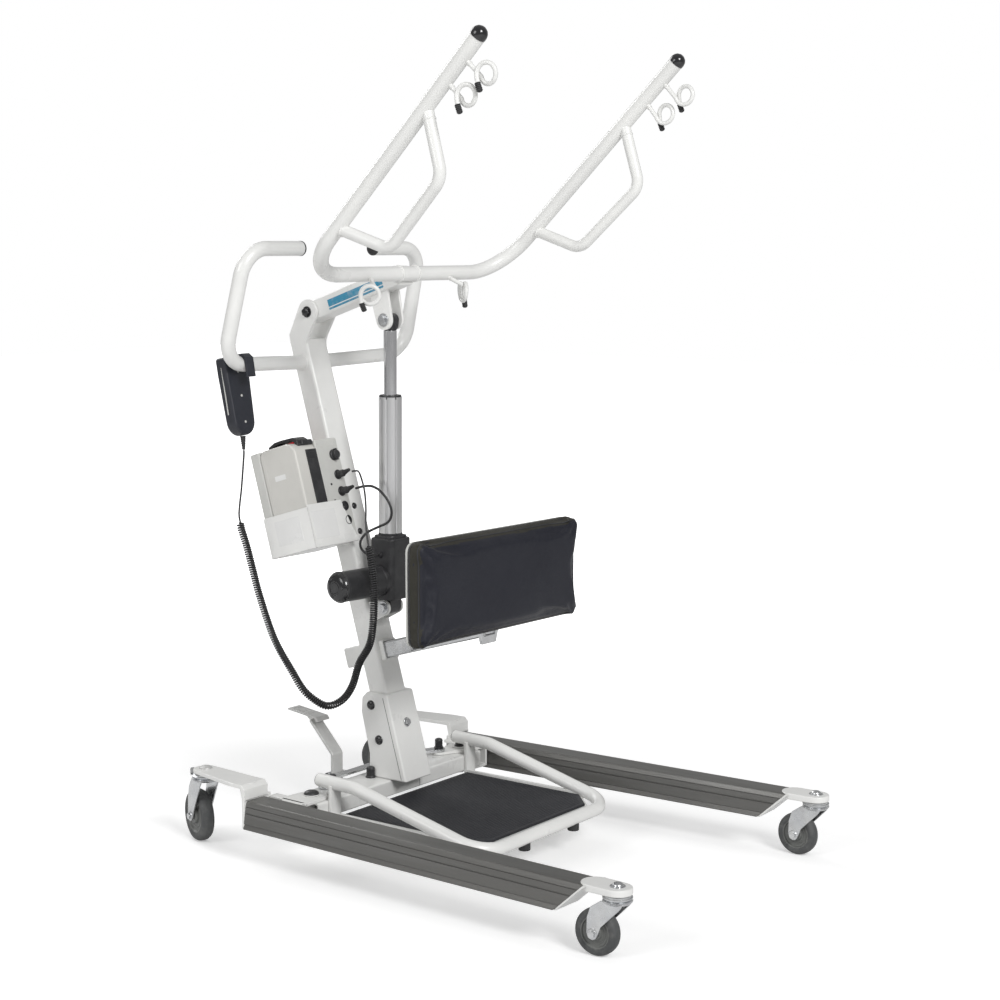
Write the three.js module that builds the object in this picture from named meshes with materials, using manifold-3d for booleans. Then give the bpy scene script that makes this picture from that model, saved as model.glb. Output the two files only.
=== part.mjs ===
// Sit-to-stand patient lift. Millimetres, +Z up, the two legs point to -Y, the attendant stands at +Y.
// "near" is the -X side and "far" is the +X side.
import * as THREE from "three";
import { mergeVertices } from "three/addons/utils/BufferGeometryUtils.js";
import Module from "manifold-3d";

const wasm = await Module();
wasm.setup();

// ---------------------------------------------------------------- driving dimensions
const GAP = 0.3;                      // between pieces that touch
const RUN = 0.4;                      // between pieces that turn or slide on each other

// casters
const FRONT_WHEEL = { radius: 40, width: 25, trail: 37, crown: 25 };
const REAR_WHEEL = { radius: 50, width: 28, trail: 35, crown: 27 };
const FRONT_CASTER_YAW = 4;           // degrees outward from straight back
const REAR_CASTER_YAW = -20;          // degrees, inward
const AXLE_R = 4;

// base beam and legs
const BEAM = { front: 320, rear: 400, bottom: 80, top: 112, half: 248, wall: 3.5 };
const LEG_PIVOT = { x: BEAM.half - 23, y: 358, r: 8 };
const LEG_SPREAD = 1.9;               // degrees outward as it stands
const LEG_X = 86;                     // leg centre line, outward of its pivot
const LEG = { front: -716, rear: 60, top: 120, bottom: 68, topHalf: 24, bottomHalf: 34, undercut: 58 };
const HINGE_PLATE = 6;
const CRANK_PIN = { x: -51, y: 14, r: 6 };   // from the leg pivot, toward the middle
const FRONT_BOLT_Y = LEG.front - 49;  // front caster bolt, from the leg pivot
const NOSE = { radius: 26, bottom: 110, top: 122, tail: LEG.front + 26 };
const REAR_BOLT = { x: 72, y: 210 };  // rear caster bolt, from the leg pivot
const REAR_ARM_Z = 2 * REAR_WHEEL.radius + 42;
const REAR_ARM = { bottom: REAR_ARM_Z, top: REAR_ARM_Z + 8, lip: 14, half: 32, nose: 24 };

// leg spreading pedal
const PEDAL = { x: -88, width: 30, thick: 6, y: 415.5, pivotZ: 96, bendZ: 163, hub: 10, pin: 5 };
const TREAD = { y: 452, z: 210, length: 76, rise: 9, width: 34, thick: 4 };
const SPREADER = { bottom: 119, thick: 5, width: 18, y: 401 };

// mast, leaning back
const MAST_LEAN = 16.36;              // degrees
const MAST = { width: 60, depth: 45, wall: 3, footY: 287.2, footZ: 112, bottom: 42, top: 879 };
const SOCKET = { half: 40, top: 172, rear: 388, toe: 8 };
const HEAD = { plate: 6, eyeY: -19, eyeZ: 933.5, eyeR: 24 };
const LOWER_LUG = { y: -33.8, z: 338.2, r: 15, inner: 16.4, plate: 5 };
const PIN_R = 5;

// push handle
const HANDLE_R = 14;
const HANDLE_BEND = 55;
const HANDLE_TOP = { x: 253, y: 478, z: 1136, end: 105 };
const HANDLE_LOW = { x: 263, y: 531, z: 921 };
const HANDLE_MAST = { y: 22.5, z: 843 };      // in the mast's own frame

// footplate
const FOOT_TUBE_R = 12.5;
const FOOTPLATE = {
  rearX: 207, rearY: 355, bendY: 268, z: 145, frontX: 202, frontY: -30, frontZ: 70, bend: 55,
};
const PAN = { half: 194, rear: 319.6, front: -16, bottom: 70, top: 75, lip: 5, lipTop: 84, corner: 45 };
const MAT = { thick: 5, inset: 2 };
const STUD = { x: 78, r: 11, drop: 22 };

// boom and sling frame
const BOOM_PIVOT = { y: 532, z: 1013 };
const BOOM = { rise: 18.5, reach: 239.4, width: 46.8, height: 38, wall: 3, tail: 18, bolt: 7 };
const EAR = { y: 346, z: 1001, r: 19, slotR: 11.6, slotShift: [2.1, 1.8], inner: 13, plate: 6 };
const FRAME_R = 14;
const CROSS = { x: 289, y: 305, z: 1089, bend: 98 };
const ARM_TIP = { x: 304, y: -98, z: 1479 };
const GRIP_R = 10.75;
const GRIP = [[299, 11, 1365], [302, -21, 1253], [287, 105, 1135], [292, 220, 1172]];
const GRIP_BEND = 34;
const WIRE_R = 4;
const HOOK_RING = 17;

// lift actuator, from its lower pin
const ACTUATOR = { y: 350, z: 446, tubeTop: 412, tubeR: 22.5, rodR: 12.5, rodFoot: 252, rodTop: 535 };
const HOUSING = { half: 31, depth: 29, bottom: 17, top: 136 };
const MOTOR = { r: 30, reach: 148, z: 54, yaw: 6 };

// knee pad and its telescoping arm
const KNEE_ARM = {
  y: 341, z: 365, rise: MAST_LEAN, outer: 40, wall: 3.5, front: 10, rear: 113, innerRear: 85,
};
const KNEE_INNER = KNEE_ARM.outer - 2 * KNEE_ARM.wall - 1;
const KNEE_PAD = {
  half: 236, bottom: 425, top: 622, front: 72, back: 105, board: 4.5, corner: 22, yaw: -2.6,
};

// control box on the near side of the mast, in the mast's own frame
const BOX = { near: -155, split: -95, front: -20, shelf: 72, rear: 97, bottom: 478, top: 682 };
const TRAY = { wall: 1.6, top: 560, cut: -52 };
const JACK_X = -50;
const HANDSET_JACK_Z = 609;
const ACTUATOR_JACK_Z = 576;
const SPARE_JACKS_Z = [547, 519];
const CHARGE_CAP_Z = 648;
const STOP = { x: -72, y: 52, stem: 8.6 };

// handset hung on the push handle
const HANDSET = { x: -208, y: 551.5, z: 858, lean: 10.7, width: 62, thick: 26, length: 150, tail: 27 };
const CORD_R = 2;
const COIL_R = 8;
const CABLE_R = 2.5;

// ---------------------------------------------------------------- materials
const paint = new THREE.MeshStandardMaterial({ color: 0xf1f0ec, roughness: 0.35, metalness: 0.1 });
const anodised = new THREE.MeshStandardMaterial({ color: 0x8d8f92, roughness: 0.4, metalness: 0.9 });
const zinc = new THREE.MeshStandardMaterial({ color: 0xb9bdc0, roughness: 0.25, metalness: 1 });
const blackPlastic = new THREE.MeshStandardMaterial({ color: 0x16171a, roughness: 0.45, metalness: 0 });
const greyPlastic = new THREE.MeshStandardMaterial({ color: 0xd9d7d0, roughness: 0.5, metalness: 0 });
const redPlastic = new THREE.MeshStandardMaterial({ color: 0xb3202a, roughness: 0.4, metalness: 0 });
const rubber = new THREE.MeshStandardMaterial({ color: 0x1d1e20, roughness: 0.85, metalness: 0 });
const vinyl = new THREE.MeshStandardMaterial({ color: 0x14161f, roughness: 0.5, metalness: 0 });
const tread = new THREE.MeshStandardMaterial({ color: 0x2a2b2c, roughness: 0.7, metalness: 0 });

// ---------------------------------------------------------------- geometry helpers
const rad = THREE.MathUtils.degToRad;
const vec = (p) => new THREE.Vector3(...p);

// Turns the faces of a closed mesh outward, which also mends a mirrored one.
function outward(geometry) {
  const g = geometry.index ? geometry.toNonIndexed() : geometry;
  const p = g.attributes.position;
  const a = new THREE.Vector3();
  const b = new THREE.Vector3();
  const c = new THREE.Vector3();
  let volume = 0;
  for (let i = 0; i < p.count; i += 3) {
    a.fromBufferAttribute(p, i);
    b.fromBufferAttribute(p, i + 1);
    c.fromBufferAttribute(p, i + 2);
    volume += a.dot(b.cross(c));
  }
  if (volume < 0) {
    for (let i = 0; i < p.count; i += 3) {
      b.fromBufferAttribute(p, i + 1);
      c.fromBufferAttribute(p, i + 2);
      p.setXYZ(i + 1, c.x, c.y, c.z);
      p.setXYZ(i + 2, b.x, b.y, b.z);
    }
  }
  return g;
}

function toSolid(geometry) {
  const bare = outward(geometry.clone());
  bare.deleteAttribute("normal");
  bare.deleteAttribute("uv");
  const merged = mergeVertices(bare, 1e-4);
  const mesh = new wasm.Mesh({
    numProp: 3,
    vertProperties: new Float32Array(merged.attributes.position.array),
    triVerts: new Uint32Array(merged.index.array),
  });
  return new wasm.Manifold(mesh);
}

function toGeometry(solid) {
  const mesh = solid.getMesh();
  const geometry = new THREE.BufferGeometry();
  geometry.setAttribute("position", new THREE.BufferAttribute(mesh.vertProperties, 3));
  geometry.setIndex(new THREE.BufferAttribute(mesh.triVerts, 1));
  return geometry;
}

function join(...geometries) {
  return toGeometry(geometries.map(toSolid).reduce((whole, next) => whole.add(next)));
}

function cut(body, ...tools) {
  return toGeometry(tools.map(toSolid).reduce((whole, next) => whole.subtract(next), toSolid(body)));
}

const mirrorX = (geometry) => outward(geometry.clone().scale(-1, 1, 1));
const forSide = (geometry, side) => (side > 0 ? geometry : mirrorX(geometry));

// A box given by its two corners on each axis.
function block(x0, x1, y0, y1, z0, z1) {
  const geometry = new THREE.BoxGeometry(Math.abs(x1 - x0), Math.abs(y1 - y0), Math.abs(z1 - z0));
  return geometry.translate((x0 + x1) / 2, (y0 + y1) / 2, (z0 + z1) / 2);
}

// A round bar between two points.
function bar(from, to, r, sides = 12, rTo = r) {
  const a = vec(from);
  const b = vec(to);
  const geometry = new THREE.CylinderGeometry(rTo, r, a.distanceTo(b), sides);
  const direction = b.clone().sub(a).normalize();
  const turn = new THREE.Quaternion().setFromUnitVectors(new THREE.Vector3(0, 1, 0), direction);
  geometry.applyQuaternion(turn);
  return geometry.translate(...a.add(b).multiplyScalar(0.5).toArray());
}

// Turns a [radius, height] profile about the vertical line through (x, y).
function turned(profile, x, y, sides = 16) {
  const points = profile.map(([r, h]) => new THREE.Vector2(r, h));
  return outward(new THREE.LatheGeometry(points, sides).rotateX(Math.PI / 2).translate(x, y, 0));
}

const circle = (r, sides) => Array.from({ length: sides }, (_, i) => {
  const a = (2 * Math.PI * (i + 0.5)) / sides;
  return [r * Math.cos(a), r * Math.sin(a)];
});

function shapeOf(points, ...holes) {
  const shape = new THREE.Shape(points.map((p) => new THREE.Vector2(...p)));
  shape.holes = holes.map((hole) => new THREE.Path(hole.map((p) => new THREE.Vector2(...p))));
  return shape;
}

// A rounded rectangle as points.
function roundedRect(x0, x1, y0, y1, r, steps = 2) {
  const corners = [[x1 - r, y1 - r, 0], [x0 + r, y1 - r, 90], [x0 + r, y0 + r, 180], [x1 - r, y0 + r, 270]];
  return corners.flatMap(([cx, cy, from]) => Array.from({ length: steps + 1 }, (_, i) => {
    const a = rad(from + (90 * i) / steps);
    return [cx + r * Math.cos(a), cy + r * Math.sin(a)];
  }));
}

// The outline round two discs, as points: a belt of straight sides and round ends.
function belt([ax, ay, ar], [bx, by, br], steps = 5) {
  const heading = Math.atan2(by - ay, bx - ax);
  const lean = Math.acos((ar - br) / Math.hypot(bx - ax, by - ay));
  const arc = (cx, cy, r, from, to) => Array.from({ length: steps + 1 }, (_, i) => {
    const a = from + ((to - from) * i) / steps;
    return [cx + r * Math.cos(a), cy + r * Math.sin(a)];
  });
  return [
    ...arc(bx, by, br, heading - lean, heading + lean),
    ...arc(ax, ay, ar, heading + lean, heading + 2 * Math.PI - lean),
  ];
}

// Plates: an outline in XY raised from z0 to z1, in YZ spread from x0 to x1, or in XZ from y0 to y1.
function plateXY(shape, z0, z1) {
  const geometry = new THREE.ExtrudeGeometry(shape, { depth: z1 - z0, bevelEnabled: false });
  return outward(geometry.translate(0, 0, z0));
}

function plateYZ(shape, x0, x1) {
  const geometry = new THREE.ExtrudeGeometry(shape, { depth: x1 - x0, bevelEnabled: false });
  const turn = new THREE.Matrix4().set(0, 0, 1, x0, 1, 0, 0, 0, 0, 1, 0, 0, 0, 0, 0, 1);
  return outward(geometry.applyMatrix4(turn));
}

function plateXZ(shape, y0, y1) {
  const geometry = new THREE.ExtrudeGeometry(shape, { depth: y1 - y0, bevelEnabled: false });
  const turn = new THREE.Matrix4().set(1, 0, 0, 0, 0, 0, 1, y0, 0, 1, 0, 0, 0, 0, 0, 1);
  return outward(geometry.applyMatrix4(turn));
}

// Corner points joined by straight runs, with each corner rounded to an arc.
function rounded(corners, radius, stepDegrees = 20) {
  const points = [vec(corners[0])];
  for (let i = 1; i < corners.length - 1; i++) {
    const corner = vec(corners[i]);
    const back = vec(corners[i - 1]).sub(corner).normalize();
    const ahead = vec(corners[i + 1]).sub(corner).normalize();
    const half = back.angleTo(ahead) / 2;
    const bisector = back.clone().add(ahead).normalize();
    const centre = corner.clone().addScaledVector(bisector, radius / Math.sin(half));
    const start = corner.clone().addScaledVector(back, radius / Math.tan(half)).sub(centre);
    const turn = Math.PI - 2 * half;
    const axis = back.clone().cross(ahead).normalize().negate();
    const steps = Math.max(2, Math.ceil(THREE.MathUtils.radToDeg(turn) / stepDegrees));
    for (let k = 0; k <= steps; k++) {
      points.push(start.clone().applyAxisAngle(axis, (turn * k) / steps).add(centre));
    }
  }
  points.push(vec(corners[corners.length - 1]));
  return points;
}

// A curve that steps exactly through its points, so that a swept tube spends no faces on straight runs.
class Route extends THREE.Curve {
  constructor(points) {
    super();
    this.points = points;
  }

  getPoint(t) {
    return this.points[Math.round(t * (this.points.length - 1))].clone();
  }

  getPointAt(u) {
    return this.getPoint(u);
  }

  getTangentAt(u) {
    const last = this.points.length - 1;
    const i = Math.round(u * last);
    const here = this.points[i];
    const before = i > 0 ? here.clone().sub(this.points[i - 1]).normalize() : new THREE.Vector3();
    const after = i < last ? this.points[i + 1].clone().sub(here).normalize() : new THREE.Vector3();
    return before.add(after).normalize();
  }
}

function tubeThrough(points, r, sides = 12) {
  const options = { steps: points.length - 1, extrudePath: new Route(points) };
  return outward(new THREE.ExtrudeGeometry(shapeOf(circle(r, sides)), options));
}

const tube = (corners, r, bend, sides, step) => tubeThrough(rounded(corners, bend, step), r, sides);

// A smooth cord through hand-chosen points.
function cord(points, r, steps, sides = 8) {
  const curve = new THREE.CatmullRomCurve3(points.map(vec), false, "centripetal");
  return outward(new THREE.ExtrudeGeometry(shapeOf(circle(r, sides)), { steps, extrudePath: curve }));
}

// ---------------------------------------------------------------- scene graph
const lift = new THREE.Group();

function add(parent, name, geometry, material) {
  const mesh = new THREE.Mesh(geometry, material);
  mesh.name = name;
  parent.add(mesh);
  return mesh;
}

function frame(parent, x, y, z, turnX = 0, turnZ = 0) {
  const group = new THREE.Group();
  group.position.set(x, y, z);
  group.rotation.set(rad(turnX), 0, rad(turnZ));
  parent.add(group);
  return group;
}

const SIDES = [[-1, "near"], [1, "far"]];

// ---------------------------------------------------------------- casters
function casterFork(wheel, topZ) {
  const drop = topZ - wheel.radius;
  const inner = wheel.width / 2 + 2.5;
  const outer = inner + 3;
  const r = wheel.crown;
  const crown = turned([
    [0, -15], [r * 0.86, -15], [r, -12], [r, -8.5], [r * 0.8, -7], [r * 0.98, -5.5], [r * 0.9, -1.5], [0, 0],
  ], 0, 0, 14);
  const cheekOutline = [
    [-r * 0.8, -12], [-r * 0.62, -20], [wheel.trail - 11, -drop + 3], [wheel.trail - 6, -drop - 8],
    [wheel.trail + 5, -drop - 9], [wheel.trail + 11, -drop], [wheel.trail + 9, -drop * 0.45], [r * 0.85, -12],
  ];
  const cheek = plateYZ(shapeOf(cheekOutline), inner, outer);
  const shaft = bar([-outer - 5, wheel.trail, -drop], [outer + 5, wheel.trail, -drop], AXLE_R, 8);
  const heads = [-1, 1].map((s) => bar(
    [s * (outer - 1), wheel.trail, -drop], [s * (outer + 4), wheel.trail, -drop], 7, 6,
  ));
  return join(crown, cheek, mirrorX(cheek), shaft, ...heads);
}

function casterWheel(wheel) {
  const half = wheel.width / 2;
  const R = wheel.radius;
  const bore = AXLE_R + RUN;
  const profile = [
    [bore, -half], [R * 0.3, -half], [R * 0.36, -half * 0.6], [R * 0.66, -half * 0.7], [R * 0.93, -half * 0.8],
    [R, -half * 0.4], [R, half * 0.4], [R * 0.93, half * 0.8], [R * 0.66, half * 0.7], [R * 0.36, half * 0.6],
    [R * 0.3, half], [bore, half], [bore, -half],
  ];
  return turned(profile, 0, 0, 20).rotateY(Math.PI / 2);
}

function addCaster(leg, name, wheel, boltX, boltY, topZ, yaw) {
  const fork = frame(leg, boltX, boltY, topZ - GAP, 0, yaw);
  add(fork, `${name}_caster_fork`, casterFork(wheel, topZ - GAP), zinc);
  const hub = frame(fork, 0, wheel.trail, wheel.radius - topZ + GAP);
  add(hub, `${name}_wheel`, casterWheel(wheel), rubber);
  return fork;
}

// A pointed foot lever behind the swivel, with two cheeks that straddle it.
function brakePedal(wheel) {
  const r = wheel.crown;
  const top = plateXY(shapeOf([
    [-20, r + 1.5], [20, r + 1.5], [14, r + 18], [3, r + 41], [-3, r + 41], [-14, r + 18],
  ]), -9, -5.5);
  const cheekOutline = [[r + 1.5, -5.5], [r + 1.5, -22], [r + 10, -24], [r + 34, -7], [r + 34, -5.5]];
  const cheek = plateYZ(shapeOf(cheekOutline), 1, 4);
  return join(top, cheek, mirrorX(cheek));
}

// ---------------------------------------------------------------- legs
function legRail() {
  const h = LEG.top - LEG.bottom;
  const right = [
    [LEG.topHalf, LEG.top], [LEG.topHalf + 4, LEG.top - 5], [LEG.topHalf + 5.5, LEG.top - h * 0.34],
    [LEG.topHalf + 3.5, LEG.top - h * 0.38], [LEG.topHalf + 6, LEG.top - h * 0.42],
    [LEG.topHalf + 7.5, LEG.top - h * 0.82], [LEG.topHalf + 6, LEG.top - h * 0.86],
    [LEG.bottomHalf, LEG.bottom + 3], [LEG.bottomHalf, LEG.bottom],
  ];
  const left = right.map(([x, z]) => [-x, z]).reverse();
  const hole = [
    [LEG.topHalf - 3, LEG.top - 4], [-LEG.topHalf + 3, LEG.top - 4],
    [-LEG.bottomHalf + 8, LEG.bottom + 4], [LEG.bottomHalf - 8, LEG.bottom + 4],
  ];
  const geometry = plateXZ(shapeOf([...right, ...left], hole), LEG.front, LEG.rear);
  const p = geometry.attributes.position;
  for (let i = 0; i < p.count; i++) {
    if (p.getY(i) < (LEG.front + LEG.rear) / 2) {
      p.setY(i, p.getY(i) + (LEG.undercut * (LEG.top - p.getZ(i))) / h);
    }
  }
  return geometry.translate(LEG_X, 0, 0);
}

// White end piece: a round-nosed plate on the leg's front end and a sloping cover over the cut.
function legNose() {
  const nose = belt([LEG_X, FRONT_BOLT_Y, NOSE.radius], [LEG_X, NOSE.tail - 30, NOSE.radius - 0.5]);
  const plate = plateXY(shapeOf(nose), NOSE.bottom, NOSE.top);
  const slope = LEG.undercut / (LEG.top - LEG.bottom);
  const at = (z, back) => [LEG.front - GAP - back + slope * (LEG.top - z), z];
  const cover = plateYZ(
    shapeOf([at(LEG.top, 0), at(LEG.bottom, 0), at(LEG.bottom, 5), at(LEG.top, 5)]),
    LEG_X - LEG.bottomHalf + 3, LEG_X + LEG.bottomHalf - 3,
  );
  const behind = plateYZ(shapeOf([
    at(LEG.top + 40, 0), at(LEG.bottom - 40, 0), [LEG.rear, LEG.bottom - 40], [LEG.rear, LEG.top + 40],
  ]), LEG_X - 60, LEG_X + 60);
  return cut(join(plate, cover), behind);
}

// Rear end plate, raised caster arm, and the hinge plates that grip the beam with the crank pin.
function legHinge() {
  const hingeTop = BEAM.top + RUN + HINGE_PLATE;
  const hingeBottom = BEAM.bottom - RUN - HINGE_PLATE;
  const inside = LEG_X - LEG.bottomHalf - GAP;
  const ear = (z0, z1) => cut(join(
    plateXY(shapeOf(belt([0, 0, 30], [inside - 18, 0, 34])), z0, z1),
    block(inside - 18, inside, -34, LEG.rear + 1, z0, z1),
  ), block(inside, inside + 60, -90, 90, z0 - 1, z1 + 1));
  const { x: pinX, y: pinY, r: pinR } = CRANK_PIN;
  const crank = plateXY(shapeOf(belt([0, 0, 22], [pinX, pinY, 14])), BEAM.top + RUN, hingeTop);
  const web = block(inside - 6, inside, -34, LEG.rear + 7, hingeBottom, hingeTop);
  const pin = bar([pinX, pinY, hingeTop - 1], [pinX, pinY, hingeTop + 15], pinR);
  const cap = bar([pinX, pinY, hingeTop + 6.6], [pinX, pinY, hingeTop + 18], 9);
  const rear = LEG.rear + GAP;
  const endPlate = block(inside - 6, LEG_X + 31, rear, rear + 6, LEG.bottom, LEG.top + 4);
  const riser = plateYZ(shapeOf([
    [rear, LEG.top], [rear + 6, LEG.top], [rear + 12, REAR_ARM.bottom], [rear + 40, REAR_ARM.bottom],
    [rear + 40, REAR_ARM.top], [rear + 8, REAR_ARM.top], [rear, REAR_ARM.top - 8],
  ]), LEG_X - REAR_ARM.half, LEG_X + REAR_ARM.half - 2);
  const outline = belt([LEG_X - 1, rear + 36, REAR_ARM.half - 1], [REAR_BOLT.x, REAR_BOLT.y, REAR_ARM.nose]);
  const behindRiser = block(-50, 200, -50, rear + 20, 100, 200);
  const trimmed = cut(plateXY(shapeOf(outline), REAR_ARM.bottom, REAR_ARM.top), behindRiser);
  const lip = plateXY(shapeOf(outline, outline.map(([x, y]) => [
    REAR_BOLT.x + (x - REAR_BOLT.x) * 0.86, rear + 60 + (y - rear - 60) * 0.93,
  ]).reverse()), REAR_ARM.top - REAR_ARM.lip, REAR_ARM.bottom + 1);
  const swivelRoom = bar([REAR_BOLT.x, REAR_BOLT.y, 90], [REAR_BOLT.x, REAR_BOLT.y, REAR_ARM.bottom], 90, 24);
  const lips = cut(lip, behindRiser, swivelRoom);
  const bore = bar([0, 0, hingeBottom - 5], [0, 0, hingeTop + 5], LEG_PIVOT.r + RUN);
  return cut(join(
    ear(BEAM.top + RUN, hingeTop), ear(hingeBottom, BEAM.bottom - RUN), crank, web, pin, cap,
    endPlate, riser, trimmed, lips,
  ), bore);
}

for (const [side, name] of SIDES) {
  const leg = frame(lift, side * LEG_PIVOT.x, LEG_PIVOT.y, 0, 0, side * LEG_SPREAD);
  add(leg, `leg_rail_${name}`, forSide(legRail(), side), anodised);
  add(leg, `leg_nose_${name}`, forSide(legNose(), side), paint);
  add(leg, `leg_hinge_${name}`, forSide(legHinge(), side), paint);
  addCaster(
    leg, `front_${name}`, FRONT_WHEEL, side * LEG_X, FRONT_BOLT_Y, NOSE.bottom, -side * FRONT_CASTER_YAW,
  );
  const rear = addCaster(
    leg, `rear_${name}`, REAR_WHEEL, side * REAR_BOLT.x, REAR_BOLT.y, REAR_ARM.bottom,
    -side * REAR_CASTER_YAW,
  );
  add(rear, `rear_${name}_brake_pedal`, brakePedal(REAR_WHEEL), zinc);
}

// ---------------------------------------------------------------- base beam
function baseBeam() {
  const outline = (inset) => roundedRect(
    BEAM.front + inset, BEAM.rear - inset, BEAM.bottom + inset, BEAM.top - inset, 4 - inset / 2,
  );
  const shell = plateYZ(shapeOf(outline(0), outline(BEAM.wall)), -BEAM.half, BEAM.half);
  const posts = SIDES.map(([side]) => {
    const x = side * LEG_PIVOT.x;
    const base = BEAM.bottom - RUN - HINGE_PLATE - RUN;
    const head = BEAM.top + RUN + HINGE_PLATE + RUN;
    return join(
      bar([x, LEG_PIVOT.y, base - 1], [x, LEG_PIVOT.y, head + 1], LEG_PIVOT.r),
      bar([x, LEG_PIVOT.y, head], [x, LEG_PIVOT.y, head + 7], 11, 16, 9),
      bar([x, LEG_PIVOT.y, base - 6], [x, LEG_PIVOT.y, base], 11, 6),
    );
  });
  const lugOutline = shapeOf(belt([PEDAL.y, PEDAL.pivotZ, 11], [BEAM.rear - 3, PEDAL.pivotZ, 12.5]));
  const lugs = [-1, 1].map((s) => {
    const inner = PEDAL.x + s * (PEDAL.width / 2 + RUN);
    const outer = inner + s * 5;
    return cut(plateYZ(lugOutline, Math.min(inner, outer), Math.max(inner, outer)),
      block(-300, 300, BEAM.front, BEAM.rear - 1, 0, 200));
  });
  const reach = PEDAL.width / 2 + 9;
  const pinAt = (x) => [x, PEDAL.y, PEDAL.pivotZ];
  const pin = bar(pinAt(PEDAL.x - reach), pinAt(PEDAL.x + reach), PEDAL.pin);
  return join(shell, ...posts, ...lugs, pin);
}
add(lift, "base_beam", baseBeam(), paint);

// ---------------------------------------------------------------- spreading pedal and spreader bar
function spreaderBar() {
  const { bottom, thick, width, y } = SPREADER;
  const cos = Math.cos(rad(LEG_SPREAD));
  const sin = Math.sin(rad(LEG_SPREAD));
  const endX = LEG_PIVOT.x + CRANK_PIN.x * cos - CRANK_PIN.y * sin;
  const endY = LEG_PIVOT.y + CRANK_PIN.x * sin + CRANK_PIN.y * cos;
  const arms = SIDES.map(([side]) => plateXY(
    shapeOf(belt([side * endX, endY, 13], [side * 118, y, width / 2])), bottom, bottom + thick,
  ));
  const slots = SIDES.map(([side]) => plateXY(shapeOf(belt(
    [side * (endX - 4), endY, CRANK_PIN.r + RUN + 0.3], [side * (endX + 4), endY, CRANK_PIN.r + RUN + 0.3],
  )), bottom - 1, bottom + thick + 1));
  const middle = block(-118, 118, y - width / 2, y + width / 2, bottom, bottom + thick);
  const tabHalf = PEDAL.width / 2 + 6;
  const tab = block(PEDAL.x - tabHalf, PEDAL.x + tabHalf, y, PEDAL.y + 12, bottom, bottom + thick);
  const windowHalf = PEDAL.width / 2 + 1;
  const slack = PEDAL.thick / 2 + 1.6;
  const window = block(
    PEDAL.x - windowHalf, PEDAL.x + windowHalf, PEDAL.y - slack, PEDAL.y + slack,
    bottom - 1, bottom + thick + 1,
  );
  return cut(join(middle, ...arms, tab), ...slots, window);
}
add(lift, "spreader_bar", spreaderBar(), zinc);

function pedalLever() {
  const { x, width, thick, y, pivotZ, bendZ, hub, pin } = PEDAL;
  const t = thick / 2;
  const rise = Math.atan2(TREAD.z - bendZ, TREAD.y - y);
  const nx = Math.sin(rise) * thick;
  const nz = Math.cos(rise) * thick;
  const strip = plateYZ(shapeOf([
    [y - t, pivotZ - 4], [y + t, pivotZ - 4], [y + t, bendZ - 3], [TREAD.y + 18 + nx, TREAD.z + 14 - nz],
    [TREAD.y + 18, TREAD.z + 14], [y - t + 2, bendZ + 3], [y - t, bendZ - 2],
  ]), x - width / 2, x + width / 2);
  const boss = bar([x - width / 2, y, pivotZ], [x + width / 2, y, pivotZ], hub);
  const treadLean = TREAD.rise / TREAD.length;
  const at = (d, up) => [TREAD.y + d, TREAD.z + 16 + d * treadLean + up];
  const plate = plateYZ(shapeOf([
    at(0, -5), at(6, 0), at(TREAD.length, 0), at(TREAD.length, TREAD.thick), at(4, TREAD.thick), at(-3, -3),
  ]), x - TREAD.width / 2, x + TREAD.width / 2);
  const gusset = plateYZ(shapeOf([at(2, 1), at(46, 1), at(18, -20)]), x - 3, x + 3);
  const bore = bar([x - width, y, pivotZ], [x + width, y, pivotZ], pin + RUN);
  return cut(join(strip, boss, plate, gusset), bore);
}
add(lift, "pedal_lever", pedalLever(), anodised);

// ---------------------------------------------------------------- mast and its socket
const mast = frame(lift, 0, MAST.footY, MAST.footZ, -MAST_LEAN);
const lean = rad(MAST_LEAN);

// World (y, z) of a point in the mast's own frame.
function fromMast(y, z) {
  return [
    MAST.footY + y * Math.cos(lean) + z * Math.sin(lean),
    MAST.footZ - y * Math.sin(lean) + z * Math.cos(lean),
  ];
}

// Mast-frame (y, z) of a world point.
function toMast(y, z) {
  const dy = y - MAST.footY;
  const dz = z - MAST.footZ;
  return [dy * Math.cos(lean) - dz * Math.sin(lean), dy * Math.sin(lean) + dz * Math.cos(lean)];
}

// The slanting square hole that the knee arm's outer tube runs through, in the mast's frame.
function kneeArmHole(clearance) {
  const half = KNEE_ARM.outer / 2 + clearance;
  const [y, z] = toMast(KNEE_ARM.y, KNEE_ARM.z);
  return block(-half, half, -200, 200, -half, half)
    .rotateX(rad(MAST_LEAN - KNEE_ARM.rise)).translate(0, y, z);
}

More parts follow.
